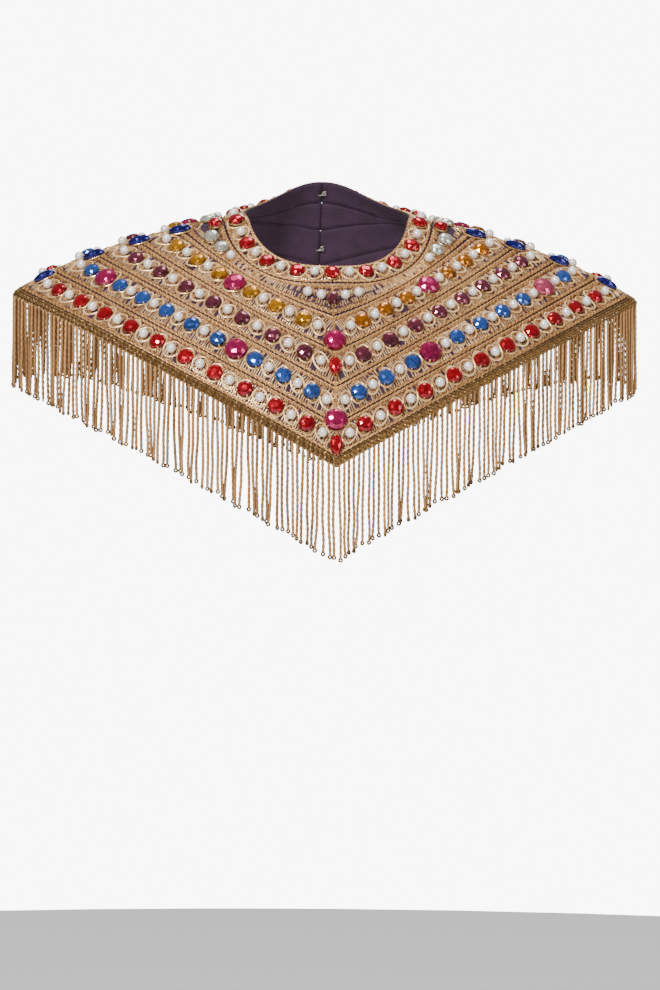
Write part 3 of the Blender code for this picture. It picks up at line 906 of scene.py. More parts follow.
def make_braiding(key, node, cloth, sizes):
    """Ladder, plaited edges and couched cords of one strip, and the threads that close its edges."""
    side, band, hand = key
    strip = strip_of(key)
    chance = draws_for(node)
    work = Work()
    half = strip.width / 2
    layout = NARROW_LAYOUT if side == "neck" else WIDE_LAYOUT
    add_ladder(work, strip, half - layout.ladder, sizes, chance)
    for edge in (-1, 1):
        if layout.plait:
            add_plait(work, strip, edge * (half - layout.plait), PLAIT_SLANT * edge, sizes, chance)
        add_zigzag(work, strip, edge * (half - layout.zigzag), chance)
    if side == "front":
        add_mitre_stitches(work, strip, BACKING, "gold", chance)
    if band != 1:
        along = np.linspace(0, strip.length, round(strip.length / SEAM_STEP))
        add_dark_thread(work, strip, along, -half - SEAM_GAP / 2)
    if side != "front":
        end = strip.length - END_THREAD_INSET if side == "neck" else END_THREAD_INSET
        across = np.linspace(-half, half, round(strip.width / END_STEP))
        add_dark_thread(work, strip, end, across)
    stones = row_stones(key)
    if band != BAND_COUNT:
        add_couching(work, strip, stones, sizes)
    pearls = [along for code, along in stones if code == "p"]
    add_frills(work, strip, np.array(pearls), chance)
    slot = "neck_braid" if side == "neck" else "braid"
    return work.make(f"braiding_{node}", hand, slot, cloth)


def add_ladder(work, strip, reach, sizes, chance):
    """Two rows of short rungs across the strip, laid over the backing."""
    for edge in (-1, 1):
        along = np.arange(sizes.rung_pitch / 2, strip.length, sizes.rung_pitch)
        along = along[chance.uniform(0, 1, len(along)) > RUNG_MISSING]
        along = along + stray(chance, RUNG_STRAY, len(along))
        middle = edge * (reach + LADDER_MIDDLE) / 2
        spots = strip.at(along, middle, BACKING + RUNG[1] * RUNG_LIFT)
        turn = math.pi / 2 + edge * RUNG_LEAN + stray(chance, RUNG_TURN, len(along))
        work.stamp(stitch_shape(), spots, (reach - LADDER_MIDDLE, *RUNG), "rung",
                   chance.uniform(0, 1, len(along)), turn)


def add_plait(work, strip, across, slant, sizes, chance):
    """A row of slanting stitches along the strip."""
    along = np.arange(sizes.stitch_pitch / 2, strip.length, sizes.stitch_pitch)
    count = len(along)
    along = along + stray(chance, PLAIT_STRAY, count)
    across = across + stray(chance, PLAIT_SWAY, count)
    spots = strip.at(along, across, BACKING + STITCH[2] * PLAIT_LIFT)
    turn = slant + stray(chance, PLAIT_TURN, count)
    work.stamp(stitch_shape(), spots, STITCH, "gold", chance.uniform(0, 1, count), turn)


def add_zigzag(work, strip, across, chance):
    """Two cords laid to and fro over each other along the strip's edge."""
    steps = round(strip.length / ZIGZAG_PERIOD * 4)
    along = np.linspace(ZIGZAG_END, strip.length - ZIGZAG_END, steps)
    swing = np.tile([0.0, 1.0, 0.0, -1.0], steps // 4 + 1)[:steps] * ZIGZAG_REACH
    rise = ZIGZAG_LIFT * np.cos(np.arange(steps) * math.pi / 2)
    for phase in (-1, 1):
        wobble = stray(chance, ZIGZAG_STRAY, steps)
        spots = strip.at(along, across + swing * phase + wobble, BACKING + ZIGZAG[1] / 2 + rise * phase)
        work.cord(spots, ZIGZAG, "gold", 0.5 + ZIGZAG_SHADE * phase, sides=5)


def add_dark_thread(work, strip, along, across):
    """Dark thread on an edge of the strip, which closes the seam or the opening there."""
    work.cord(strip.at(along, across, BACKING / 2), SEAM_THREAD, "seam", sides=4)


def add_mitre_stitches(work, strip, height, thread, chance):
    """Stitches that close the mitre at the centre front, laid along its edge."""
    across = np.arange(-strip.width / 2 + MITRE_START, strip.width / 2, MITRE_PITCH)
    spots = strip.at(MITRE_INSET, across, height + MITRE_STITCH[2] / 2)
    turn = math.pi / 2 + stray(chance, MITRE_TURN, len(across))
    shades = chance.uniform(*MITRE_SHADES, len(across))
    work.stamp(stitch_shape(), spots, MITRE_STITCH, thread, shades, turn)


def add_couching(work, strip, stones, sizes):
    """Two cords that cross between stones, so that each stone or pearl lies in an eye."""
    places = [along for _, along in stones]
    lead = min((places[1] - places[0]) / 2, places[0] - COUCHING_END)
    tail = min((places[-1] - places[-2]) / 2, strip.length - COUCHING_END - places[-1])
    crossings = [places[0] - lead]
    crossings += [(first + last) / 2 for first, last in zip(places, places[1:])]
    crossings.append(places[-1] + tail)
    share = np.arange(EYE_STEPS) / EYE_STEPS
    along, across, cross = [], [], []
    for index, (code, _) in enumerate(stones):
        start, end = crossings[index], crossings[index + 1]
        radius = STONES[code].width / 2 + (sizes.pearl_eye if code == "p" else sizes.stone_eye)
        radius = min(radius, strip.width / 2 - COUCHING_EDGE)
        swap = 1 if index % 2 else -1
        along.append(start + (end - start) * share)
        across.append(swap * radius * np.sin(math.pi * share) ** EYE_FULLNESS)
        cross.append(swap * np.cos(math.pi * share) ** CROSSING_POWER)
    along = np.concatenate([*along, [crossings[-1]]])
    across = np.concatenate([*across, [0.0]])
    cross = np.concatenate([*cross, [0.0]])
    for edge in (-1, 1):
        height = BACKING + sizes.cord_width * CORD_LIFT + cross * edge * CROSSING_LIFT
        spots = strip.at(along, across * edge, height)
        work.cord(spots, (sizes.cord_width, sizes.cord_width), "cord", 0.5 + CORD_SHADE * edge, sides=7)


def add_frills(work, strip, pearls, chance):
    """A ring of small stitches round each pearl, inside its eye."""
    angle = 2 * math.pi * np.arange(FRILL_STITCHES) / FRILL_STITCHES
    reach = STONES["p"].width / 2 + FRILL_GAP
    along = (pearls[:, None] + reach * np.cos(angle)[None]).ravel()
    across = np.tile(reach * np.sin(angle), len(pearls))
    spots = strip.at(along, across, BACKING + FRILL[2] * FRILL_LIFT)
    turn = np.tile(angle, len(pearls)) + FRILL_TURN
    shades = chance.uniform(*FRILL_SHADES, len(along))
    work.stamp(stitch_shape(), spots, FRILL, "gold", shades, turn)


# Stones

def glass_of(key, code, number):
    """Finish of the stone with that code and number in a strip's row."""
    side, band, hand = key
    if code == "m":
        outer = max(index for index, (kind, _) in enumerate(row_stones(key)) if kind == "m")
        return "glass_pink" if (side, hand, band) == PALE_LARGE and number == outer else "glass_magenta"
    if code == "c":
        return "glass_clear"
    name = ROW_GLASS["neck" if side == "neck" else band]
    if name == "amber" and hand == ORANGE_HAND:
        name = "orange"
    return f"glass_{name}"


# Facets round a stone, the length in mm over which a set stone has the large ones' number, how
# full stones are and how deep they sit in their solids, and the pearls' size over the cloth
GEM_SIDES = {"s": 12, "c": 12, "m": 16}
LARGE_STONE = 15
GEM_FULL = 1.03
SEAT = 0.5 * MM
SET_SEAT = 1.1 * MM
PEARL_WIDTH = 7.6 * MM
PEARL_TOP = 5.6 * MM

# Where stones and claws stray to, an end claw's place round a long stone, and ranges of shades
STONE_STRAY = 0.25 * MM
CLAW_STRAY = 0.1
END_CLAW = 0.35
ANY_TURN = 6
GEM_SHADES = (0.35, 0.65)
CUP_SHADES = (0.2, 0.6)
CLAW_SHADES = (0.4, 0.9)


def make_row(key, node, cloth):
    """Claw-set stones and pearls of one strip's row."""
    strip = strip_of(key)
    chance = draws_for("row" + node)
    work = Work()
    stones = row_stones(key)
    pearls = np.array([along for code, along in stones if code == "p"])
    radius = PEARL_WIDTH / 2
    spots = strip.at(pearls, 0.0, WALL + PEARL_TOP - radius)
    work.stamp(pearl_shape(), spots, radius, "pearl", chance.uniform(0, 1, len(pearls)),
               chance.uniform(0, ANY_TURN, len(pearls)), smooth=True)
    for number, (code, along) in enumerate(stones):
        if code == "p":
            continue
        spots = strip.at(along, stray(chance, STONE_STRAY), WALL - SEAT)
        reach = STONES[code].width * GEM_FULL / 2
        size = (reach, reach, STONES[code].height + SEAT)
        set_stone(work, spots, size, "round", GEM_SIDES[code], glass_of(key, code, number), chance)
    return work.make(f"stones_{node}", key[2], "red_glass", cloth)


def set_stone(work, spots, size, form, sides, glass, chance):
    """A stone in its gilt cup, held by four claws."""
    turn = chance.uniform(0, math.pi) if form == "round" else 0.0
    work.stamp(gem_shape(form, sides), spots, size, glass, chance.uniform(*GEM_SHADES), turn)
    work.stamp(cup_shape(form, sides * 2), spots, size, "gilt", chance.uniform(*CUP_SHADES))
    for quarter in range(4):
        if form == "round":
            angle = math.pi / 4 + quarter * math.pi / 2 + stray(chance, CLAW_STRAY)
        else:
            angle = (quarter // 2) * math.pi + (END_CLAW if quarter % 2 else -END_CLAW)
        edge = outline_point(form, angle)
        edge = Vector((edge.x * size[0], edge.y * size[1]))
        claw = (edge.length, min(size[:2]), size[2])
        work.stamp(claw_shape(), spots, claw, "gilt", chance.uniform(*CLAW_SHADES),
                   math.atan2(edge.y, edge.x))


def spot_here(point, along, normal):
    """A spot's arrays for one place, from its point, direction and normal."""
    normal = np.array(normal.normalized())[None]
    along = np.array(along)[None]
    along = unit(along - normal * (along * normal).sum())
    return Spot(np.array(point)[None], along, np.cross(normal, along), normal)


def make_set_stone(stone, hand, node, point, along, normal):
    """One stone that is set on its own, and replaces its solid."""
    chance = draws_for(node)
    work = Work()
    spots = spot_here(point + normal * (WALL - SET_SEAT), along, normal)
    size = (stone.length * MM / 2, stone.width * MM / 2, stone.height * MM + SET_SEAT)
    sides = GEM_SIDES["m" if stone.length > LARGE_STONE else "s"]
    set_stone(work, spots, size, stone.form, sides, f"glass_{stone.glass}", chance)
    made = work.make(f"set_{node}", hand, f"{stone.glass}_glass")
    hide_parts(node)


def make_centre_stones():
    for stone in CENTRE_STONES:
        point, normal = on_cloth("front", 0.0, stone.band)
        up = centre_point(CENTRE_FRONT, stone.band + BAND_STEP) \
            - centre_point(CENTRE_FRONT, stone.band - BAND_STEP)
        make_set_stone(stone, "right", stone.name, point, up, normal)
    side, share, band = surface_over(neck_ellipse(-math.pi / 2, 0.5))
    point, normal = on_cloth(side, share, band)
    make_set_stone(NECK_STONE, "right", NECK_STONE.name, point, Vector((0, 0, 1)), normal)


def make_ridge_stones():
    for hand in HANDS:
        for stone in RIDGE_STONES:
            normal = ridge_frame(stone.band, mean_facing(stone.band))[1]
            make_set_stone(stone, hand, f"{stone.name}_{hand}", ridge_point(stone.band),
                           ridge_direction(stone.band), normal)


# Fringe

# Header: places of its cords across it, their size, step, twist a step, height and shades
HEADER_CORDS = (-0.40, -0.14, 0.13, 0.38)
HEADER_CORD = (2.6 * MM, 2.1 * MM)
HEADER_STEP = 1.4 * MM
HEADER_END = 0.2 * MM
HEADER_TWIST = 0.55
HEADER_HEIGHT = WALL * 0.55
HEADER_SHADES = (0.2, 0.8)

# Strands: where they leave the header, their size, step, twist and lengths, and their loops
ROOT_ACROSS = -0.42
ROOT_HEIGHT = WALL * 0.5
ROOT_STRAY = 0.5 * MM
STRAND = (2.75 * MM, 2.2 * MM)
STRAND_STEP = 1.25 * MM
STRAND_LENGTHS = (0.95, 0.985)
TWIST_LENGTH = 5.0 * MM
LOOP = 1.25 * MM
LOOP_DROP = LOOP * 0.7
LOOP_TURN = 0.9

# How strands hang: they lean in waves from one to the next, each a turn a strand and a reach, and
# each stray, lean more towards the foot, swing out or in, and wave along their length
LEAN_WAVES = ((0.83, 1.3 * MM), (2.1, 0.9 * MM))
LEAN_STRAY = 0.8 * MM
LEAN_GROWTH = 1.6
STRAND_SWING = (-0.6 * MM, 1.0 * MM)
STRAND_WAVES = (0.8, 2.2)
WAVE_REACH = 0.45 * MM
UP = np.array([0.0, 0.0, 1.0])


def make_fringe(side, hand, cloth, sizes):
    """Header of four twisted cords, and the twisted strands that hang from it."""
    node = f"fringe_{side}_{hand}"
    strip = header_strip(side)
    chance = draws_for(node)
    work = Work()
    along = np.linspace(HEADER_END, strip.length - HEADER_END, round(strip.length / HEADER_STEP))
    for number, share in enumerate(HEADER_CORDS):
        spots = strip.at(along, share * strip.width, HEADER_HEIGHT)
        work.cord(spots, HEADER_CORD, "header", chance.uniform(*HEADER_SHADES), sides=4,
                  twist=HEADER_TWIST if number % 2 else -HEADER_TWIST, smooth=False)
    if side == "front":
        add_mitre_stitches(work, strip, HEADER_HEIGHT, "header", chance)
    add_strands(work, strip, sizes.strands, chance)
    made = work.make(f"bullion_{node}", hand, "fringe", cloth)
    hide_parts(node)


def add_strands(work, strip, count, chance):
    """Strands that hang straight down from the header, each with a loop at its foot."""
    index = np.arange(count)
    roots = (index + 0.5) / count * strip.length + stray(chance, ROOT_STRAY, count)
    spots = strip.at(roots, ROOT_ACROSS * strip.width, ROOT_HEIGHT)
    flat = unit(spots.along * (1 - UP))
    out = np.cross(flat, UP)
    out = out * np.sign((out * spots.normal).sum(axis=1))[:, None]
    length = STRAND_LENGTH * chance.uniform(*STRAND_LENGTHS, count) - LOOP * 2
    share = np.linspace(0, 1, round(STRAND_LENGTH / STRAND_STEP))[None, :, None]
    lean = sum(reach * np.sin(turn * index + chance.uniform(0, ANY_TURN)) for turn, reach in LEAN_WAVES)
    lean = lean + stray(chance, LEAN_STRAY, count)
    swing = chance.uniform(*STRAND_SWING, count)[:, None, None]
    phase = chance.uniform(0, 2 * math.pi, count)[:, None, None]
    waves = chance.uniform(*STRAND_WAVES, count)[:, None, None]
    wave = np.sin(phase + share * 2 * math.pi * waves) * WAVE_REACH
    drift = lean[:, None, None] * share ** LEAN_GROWTH + wave * share
    points = (spots.point[:, None] + flat[:, None] * drift + out[:, None] * (swing * share)
              - UP * length[:, None, None] * share)
    normals = np.broadcast_to(out[:, None], points.shape)
    shades = chance.uniform(0, 1, count)
    work.cords(points, normals, *STRAND, "fringe", shades, twist=math.pi * STRAND_STEP / TWIST_LENGTH)
    turn = stray(chance, LOOP_TURN, count)[:, None]
    facing = out * np.cos(turn) + flat * np.sin(turn)
    up = np.broadcast_to(UP, facing.shape)
    feet = Spot(points[:, -1] - UP * LOOP_DROP, np.cross(up, facing), up, facing)
    work.stamp(loop_shape(), feet, LOOP, "header", shades, smooth=True)


# Hooks and eyes

HOOK_WIRE = (0.9 * MM, 0.9 * MM)
HOOK_DEPTH = 0.15 * MM
HOOK_STEPS = 31
# Paths of the two wires in mm, across and up from the middle of the fastening
HOOK_PATH = ((-3.4, -1.3), (-2.0, -1.9), (0.4, -1.0), (2.4, -0.9), (3.3, -0.2), (2.6, 0.6), (1.2, 0.5))
EYE_PATH = ((3.5, 1.9), (1.6, 1.7), (0.3, 1.0), (-0.2, 0.0), (0.4, -1.0), (1.6, -1.7), (3.5, -1.9))


def make_hooks():
    """A closed hook and eye of bent wire behind the middle of each band."""
    for number in range(1, BAND_COUNT + 1):
        node = f"hook_and_eye_{number}"
        low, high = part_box(node)
        centre = np.array((Vector(low) + Vector(high)) / 2)
        tilt = hook_tilt(number)
        across = np.array([1.0, 0.0, 0.0])
        up = np.array([0.0, -math.sin(tilt), math.cos(tilt)])
        out = np.cross(across, up)
        work = Work()
        for path, depth in ((HOOK_PATH, HOOK_DEPTH), (EYE_PATH, -HOOK_DEPTH)):
            flat = np.array(path) * MM
            fine = np.linspace(0, len(flat) - 1, HOOK_STEPS)
            over, rise = [np.interp(fine, np.arange(len(flat)), line)[:, None] for line in flat.T]
            points = centre + over * across + rise * up + out * depth
            work.cords(points[None], np.broadcast_to(out, (1, HOOK_STEPS, 3)), *HOOK_WIRE, "steel")
        made = work.make(f"wire_{node}", "right", "hooks")
        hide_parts(node)


def hook_tilt(number):
    """How far the centre back leans from upright over one band."""
    low, high = max(CLOTH_EDGE, number - 1), number
    if number == BAND_COUNT:
        low, high = [surface_over(neck_ellipse(math.pi / 2, share))[2] for share in (1, 0)]
    rise = centre_point(CENTRE_BACK, high) - centre_point(CENTRE_BACK, low)
    return math.atan2(-rise.y, rise.z)


# Finishes

class Channel:
    """A shader socket that takes part in sums."""

    def __init__(self, paint, socket):
        self.paint = paint
        self.socket = socket

    def join(self, operation, first, second):
        return self.paint.node("ShaderNodeMath", {"operation": operation}, {0: first, 1: second})

    def __add__(self, other):
        return self.join("ADD", self, other)

    def __radd__(self, other):
        return self.join("ADD", other, self)

    def __sub__(self, other):
        return self.join("SUBTRACT", self, other)

    def __rsub__(self, other):
        return self.join("SUBTRACT", other, self)

    def __mul__(self, other):
        return self.join("MULTIPLY", self, other)

    def __rmul__(self, other):
        return self.join("MULTIPLY", other, self)

    def __pow__(self, other):
        return self.join("POWER", self, other)


class Paint:
    """A finish under way: its material, its shader and the nodes that feed it."""

    def __init__(self, name, fixed):
        self.material = bpy.data.materials.new(name)
        self.material.use_nodes = True
        self.tree = self.material.node_tree
        self.shader = self.tree.nodes["Principled BSDF"]
        for socket, value in fixed.items():
            self.shader.inputs[socket].default_value = value

    def node(self, kind, settings, sockets, output=0):
        made = self.tree.nodes.new(kind)
        for name, value in settings.items():
            setattr(made, name, value)
        for name, value in sockets.items():
            if isinstance(value, Channel):
                self.tree.links.new(value.socket, made.inputs[name])
            else:
                made.inputs[name].default_value = value
        return Channel(self, made.outputs[output])

    def feed(self, socket, channel):
        self.tree.links.new(channel.socket, self.shader.inputs[socket])

    def place(self):
        return self.node("ShaderNodeTexCoord", {}, {}, "Object")

    def cloth_place(self):
        return self.node("ShaderNodeUVMap", {"uv_map": "cloth"}, {})

    def shade(self):
        return self.node("ShaderNodeAttribute", {"attribute_name": "shade"}, {}, "Fac")

    def grain(self, scale, detail=2.0):
        sockets = {"Vector": self.place(), "Scale": scale, "Detail": detail}
        return self.node("ShaderNodeTexNoise", {}, sockets)

    def limit(self, channel):
        return self.node("ShaderNodeClamp", {}, {"Value": channel})

    def blend(self, share, first, second):
        colours = [value if isinstance(value, Channel) else (*value, 1.0) for value in (first, second)]
        return self.node("ShaderNodeMix", {"data_type": "RGBA"},
                         {0: self.limit(share), 6: colours[0], 7: colours[1]}, 2)

    def bump(self, height, strength, depth):
        self.feed("Normal", self.node("ShaderNodeBump", {}, {
            "Height": height, "Strength": strength, "Distance": depth}))


def thread_finish(name, deep, pale, roughness, metallic, grain=1300.0, bump=0.35):
    """Metallic thread: each stitch has its own shade between the deep and the pale colour, painted shade
    and painted highlight, and fine plies glint in it, painted glints as well as bumps.
    """
    paint = Paint(name, {"Roughness": roughness, "Metallic": metallic})
    plies = paint.grain(grain, 1.0)
    patch = paint.grain(55.0, 1.0)
    tone = paint.shade() * 0.75 + plies * 0.75 + patch * 0.35 - 0.55
    paint.feed("Base Color", paint.blend(tone, deep, pale))
    paint.bump(plies, bump, 0.25 * MM)
    return paint.material


def backing_finish(name):
    """Dark matt backing, woven fine, with a few gold threads drawn through."""
    colours = bpy.context.scene.capelet_colours
    paint = Paint(name, {"Roughness": 0.85, "Metallic": 0.0})
    where = paint.cloth_place()
    weave = [paint.node("ShaderNodeTexWave", {"bands_direction": direction},
                        {"Vector": where, "Scale": 420.0, "Distortion": 0.6}, "Fac")
             for direction in ("X", "Y")]
    patch = paint.grain(90.0)
    base = paint.blend(patch * 1.4 - 0.2, tuple(colours.backing), tuple(0.35 * c for c in colours.backing))
    threads = (weave[0] * weave[1]) ** 3.0
    paint.feed("Base Color", paint.blend(threads * 0.35, base, tuple(colours.gold_deep)))
    paint.bump(weave[0] * weave[1], 0.3, 0.2 * MM)
    return paint.material


def glass_finish(name, dark, bright):
    """Foiled glass: bright and dark facets, painted light and painted shade, under a hard polish."""
    paint = Paint(name, {"Roughness": 0.16, "Metallic": 0.7, "Coat Weight": 0.45,
                         "Coat Roughness": 0.04})
    cloud = paint.grain(330.0, 1.0)
    paint.feed("Base Color", paint.blend(paint.shade() * 1.3 + cloud * 0.35 - 0.3, dark, bright))
    return paint.material


def pearl_finish(name, colour):
    """Pearl lustre: a hard clear coat over a clouded pale body."""
    paint = Paint(name, {"Roughness": 0.28, "Metallic": 0.35, "Coat Weight": 1.0,
                         "Coat Roughness": 0.12})
    cloud = paint.grain(160.0)
    cool = tuple(channel * share for channel, share in zip(colour, (0.86, 0.82, 0.82)))
    paint.feed("Base Color", paint.blend(cloud * 1.5 - 0.45, cool, colour))
    return paint.material


def metal_finish(name, deep, pale, roughness):
    """Worn metal of settings and hooks."""
    paint = Paint(name, {"Roughness": roughness, "Metallic": 0.9})
    wear = paint.grain(420.0)
    paint.feed("Base Color", paint.blend(wear * 0.9 + paint.shade() * 0.6 - 0.3, deep, pale))
    paint.bump(wear, 0.15, 0.1 * MM)
    return paint.material


def fringe_finish(name, deep, pale):
    """Twisted bullion, darker in places along each strand."""
    paint = Paint(name, {"Roughness": 0.42, "Metallic": 0.45})
    plies = paint.grain(1500.0, 1.0)
    patch = paint.grain(38.0)
    tone = paint.shade() * 0.45 + plies * 0.55 + patch * 0.8 - 0.50
    paint.feed("Base Color", paint.blend(tone, deep, pale))
    paint.bump(plies, 0.4, 0.25 * MM)
    return paint.material


FLOOR_GLOW = 0.45


def floor_finish(name):
    """Pale matt floor with a glow of its own, so that it stays white in shade."""
    colour = tuple(bpy.context.scene.capelet_stage.floor_colour)
    paint = Paint(name, {"Roughness": 0.95, "Emission Color": (1.0, 1.0, 1.0, 1.0),
                         "Emission Strength": FLOOR_GLOW})
    cloud = paint.grain(3.0)
    paint.feed("Base Color", paint.blend(cloud, colour, tuple(0.97 * c for c in colour)))
    return paint.material


def colour(name):
    return tuple(getattr(bpy.context.scene.capelet_colours, name))


def darker(name, share):
    return tuple(channel * share for channel in colour(name))


def finish(name, make):
    """Gives the finish of that name, made at its first use."""
    def fetch():
        return bpy.data.materials.get(name) or make(name)
    return fetch


def two_tone(make, title, deep, pale, share=1.0, **looks):
    """A finish between two of the cape's colours, the deep one dimmed to a share of itself."""
    return finish(title, lambda name: make(name, darker(deep, share), colour(pale), **looks))


FINISHES = {
    "backing": finish("backing", backing_finish),
    # Gold thread runs from its shaded to its lit colour: painted shade and painted highlights, at random
    # on each stitch
    "gold": two_tone(thread_finish, "gold_thread", "gold_deep", "gold_pale",
                     roughness=0.36, metallic=0.7),
    "rung": two_tone(thread_finish, "gold_ladder", "gold_mid", "cord_pale",
                     roughness=0.34, metallic=0.65),
    "cord": two_tone(thread_finish, "couched_cord", "gold_mid", "cord_pale",
                     roughness=0.30, metallic=0.55, grain=900.0, bump=0.2),
    "seam": two_tone(thread_finish, "seam_thread", "backing", "backing", 0.4,
                     roughness=0.8, metallic=0.0),
    "header": two_tone(thread_finish, "header_cord", "header", "header", 0.30,
                       roughness=0.42, metallic=0.6, grain=700.0),
    "fringe": two_tone(fringe_finish, "bullion", "fringe", "fringe", 0.32),
    "gilt": two_tone(metal_finish, "gilt_setting", "gold_deep", "gilt", roughness=0.3),
    "steel": two_tone(metal_finish, "hook_wire", "steel", "steel", 0.5, roughness=0.35),
    "pearl": finish("pearl_lustre", lambda name: pearl_finish(name, colour("pearl"))),
    "floor": finish("studio_floor", floor_finish),
}
# Glass of each colour, with the brightness of its dark facets, painted shade, as a share of the bright
# ones'
GLASS_FACET_SHADES = {"red": 0.16, "blue": 0.22, "garnet": 0.14, "amber": 0.22, "orange": 0.25,
                "magenta": 0.30, "pink": 0.40, "navy": 0.25, "clear": 0.25}
for name, share in GLASS_FACET_SHADES.items():
    title = f"glass_{name}"
    FINISHES[title] = two_tone(glass_finish, title, title, title, share)


# Settings

def tint(name, description, default):
    return FloatVectorProperty(name=name, description=description, default=default,
                               subtype="COLOR", size=3, min=0.0, max=1.0)


def length(name, description, default):
    return FloatProperty(name=name, description=description, default=default, unit="LENGTH",
                         subtype="DISTANCE", min=0.1 * MM, precision=5)


class CapeletSizes(bpy.types.PropertyGroup):
    rung_pitch: length("Rung pitch", "Distance between the rungs of the ladder", 1.95 * MM)
    stitch_pitch: length("Stitch pitch", "Distance between plaited stitches", 2.2 * MM)
    cord_width: length("Cord", "Width of the couched cord", 1.7 * MM)
    stone_eye: length("Eye of a stone", "From a stone's edge to the middle of the cord", 1.45 * MM)
    pearl_eye: length("Eye of a pearl", "From a pearl's edge to the middle of the cord", 2.9 * MM)
    strands: IntProperty(name="Strands", description="Fringe strands in each quarter",
                         default=72, min=10, max=90)


class CapeletColours(bpy.types.PropertyGroup):
    backing: tint("Backing", "Cloth behind the braiding", (0.034, 0.009, 0.040))
    gold_deep: tint("Deep gold", "Shaded metallic thread", (0.20, 0.075, 0.022))
    gold_mid: tint("Gold", "Metallic thread", (0.62, 0.31, 0.10))
    gold_pale: tint("Pale gold", "Lit metallic thread", (1.0, 0.59, 0.23))
    cord_pale: tint("Cord", "Couched cord", (1.0, 0.79, 0.46))
    header: tint("Header", "Cords above the fringe", (0.28, 0.145, 0.042))
    fringe: tint("Fringe", "Twisted bullion", (0.62, 0.315, 0.115))
    gilt: tint("Gilt", "Cups and claws", (0.92, 0.68, 0.33))
    steel: tint("Hooks", "Hook and eye wire", (0.45, 0.42, 0.38))
    pearl: tint("Pearl", "Pearls", (0.97, 0.93, 0.86))
    glass_red: tint("Red", "Red stones", (0.45, 0.0, 0.008))
    glass_blue: tint("Blue", "Blue stones", (0.036, 0.110, 0.43))
    glass_garnet: tint("Garnet", "Garnet stones", (0.19, 0.030, 0.055))
    glass_amber: tint("Amber", "Yellow-brown stones", (0.58, 0.24, 0.004))
    glass_orange: tint("Orange", "Orange stones", (0.46, 0.14, 0.003))
    glass_magenta: tint("Magenta", "Large stones", (0.42, 0.008, 0.090))
    glass_pink: tint("Pink", "Paler large stone", (0.62, 0.080, 0.170))
    glass_navy: tint("Navy", "Shoulder stones", (0.008, 0.006, 0.170))
    glass_clear: tint("Clear", "Clear stones", (0.60, 0.59, 0.49))


class CapeletStage(bpy.types.PropertyGroup):
    distance: length("Distance", "From the camera to the capelet", 2.2)
    aim_side: FloatProperty(name="Aim, sideways", description="Middle of the view", default=0.0036,
                            unit="LENGTH", subtype="DISTANCE", precision=4)
    aim_height: FloatProperty(name="Aim, height", description="Middle of the view", default=-0.228,
                              unit="LENGTH", subtype="DISTANCE", precision=4)
    azimuth: FloatProperty(name="Azimuth", description="Camera's turn towards the wearer's right",
                           default=math.radians(3.5), unit="ROTATION", subtype="ANGLE")
    roll: FloatProperty(name="Roll", description="Camera's roll", default=math.radians(0.45),
                        unit="ROTATION", subtype="ANGLE")
    lens: FloatProperty(name="Lens", description="Focal length in millimetres on a 36 mm long side",
                        default=98.2, min=20.0, max=400.0)
    floor_height: FloatProperty(name="Floor", description="Height of the floor", default=-1.3,
                                unit="LENGTH", subtype="DISTANCE")
    floor_colour: tint("Floor", "Floor", (0.93, 0.92, 0.90))
    world_colour: tint("Background", "Light from all round", (1.0, 1.0, 1.0))
    world_light: FloatProperty(name="Soft light", description="How strongly the background lights",
                               default=0.28, min=0.0, max=5.0)
    backdrop_light: FloatProperty(name="Backdrop", description="How bright the background looks",
                                  default=9.0, min=0.0, max=50.0)


# Operators

class CapeletOperator:
    bl_options = {"REGISTER", "UNDO"}


class CAPELET_OT_braid(CapeletOperator, bpy.types.Operator):
    """Make the cloth of every band, with its braiding, stones and pearls"""
    bl_idname = "capelet.braid"
    bl_label = "Jewelled bands"

    def execute(self, context):
        for key, node in all_strips():
            cloth = make_cloth(key, node)
            make_braiding(key, node, cloth, context.scene.capelet_sizes)
            make_row(key, node, cloth)
        return {"FINISHED"}


class CAPELET_OT_set_stones(CapeletOperator, bpy.types.Operator):
    """Make the stones down the centre front and along the shoulders"""
    bl_idname = "capelet.set_stones"
    bl_label = "Set stones"

    def execute(self, context):
        make_centre_stones()
        make_ridge_stones()
        return {"FINISHED"}


class CAPELET_OT_fringe(CapeletOperator, bpy.types.Operator):
    """Make the header and the bullion fringe of every quarter"""
    bl_idname = "capelet.fringe"
    bl_label = "Fringe"

    def execute(self, context):
        for hand in HANDS:
            for side in ("front", "back"):
                cloth = bpy.data.objects[f"cloth_band_1_{side}_{hand}"]
                make_fringe(side, hand, cloth, context.scene.capelet_sizes)
        return {"FINISHED"}


class CAPELET_OT_hooks(CapeletOperator, bpy.types.Operator):
    """Make the hooks and eyes behind the centre-back opening"""
    bl_idname = "capelet.hooks"
    bl_label = "Hooks and eyes"

    def execute(self, context):
        make_hooks()
        return {"FINISHED"}


# Disc lamps, all turned to one point on the cape
Lamp = namedtuple("Lamp", "name place size watts")
LAMPS = (
    Lamp("key", (-1.1, -2.4, 1.5), 0.6, 140.0),
    Lamp("fill", (1.9, -2.0, 0.5), 1.2, 20.0),
    Lamp("top", (0.1, 0.2, 2.0), 1.0, 22.0),
    Lamp("back", (0.6, 2.6, 0.9), 1.6, 40.0),
)
LAMP_TARGET = Vector((0, 0, -0.15))
FLOOR_RADIUS = 4.8
LONG_SIDE = 36.0


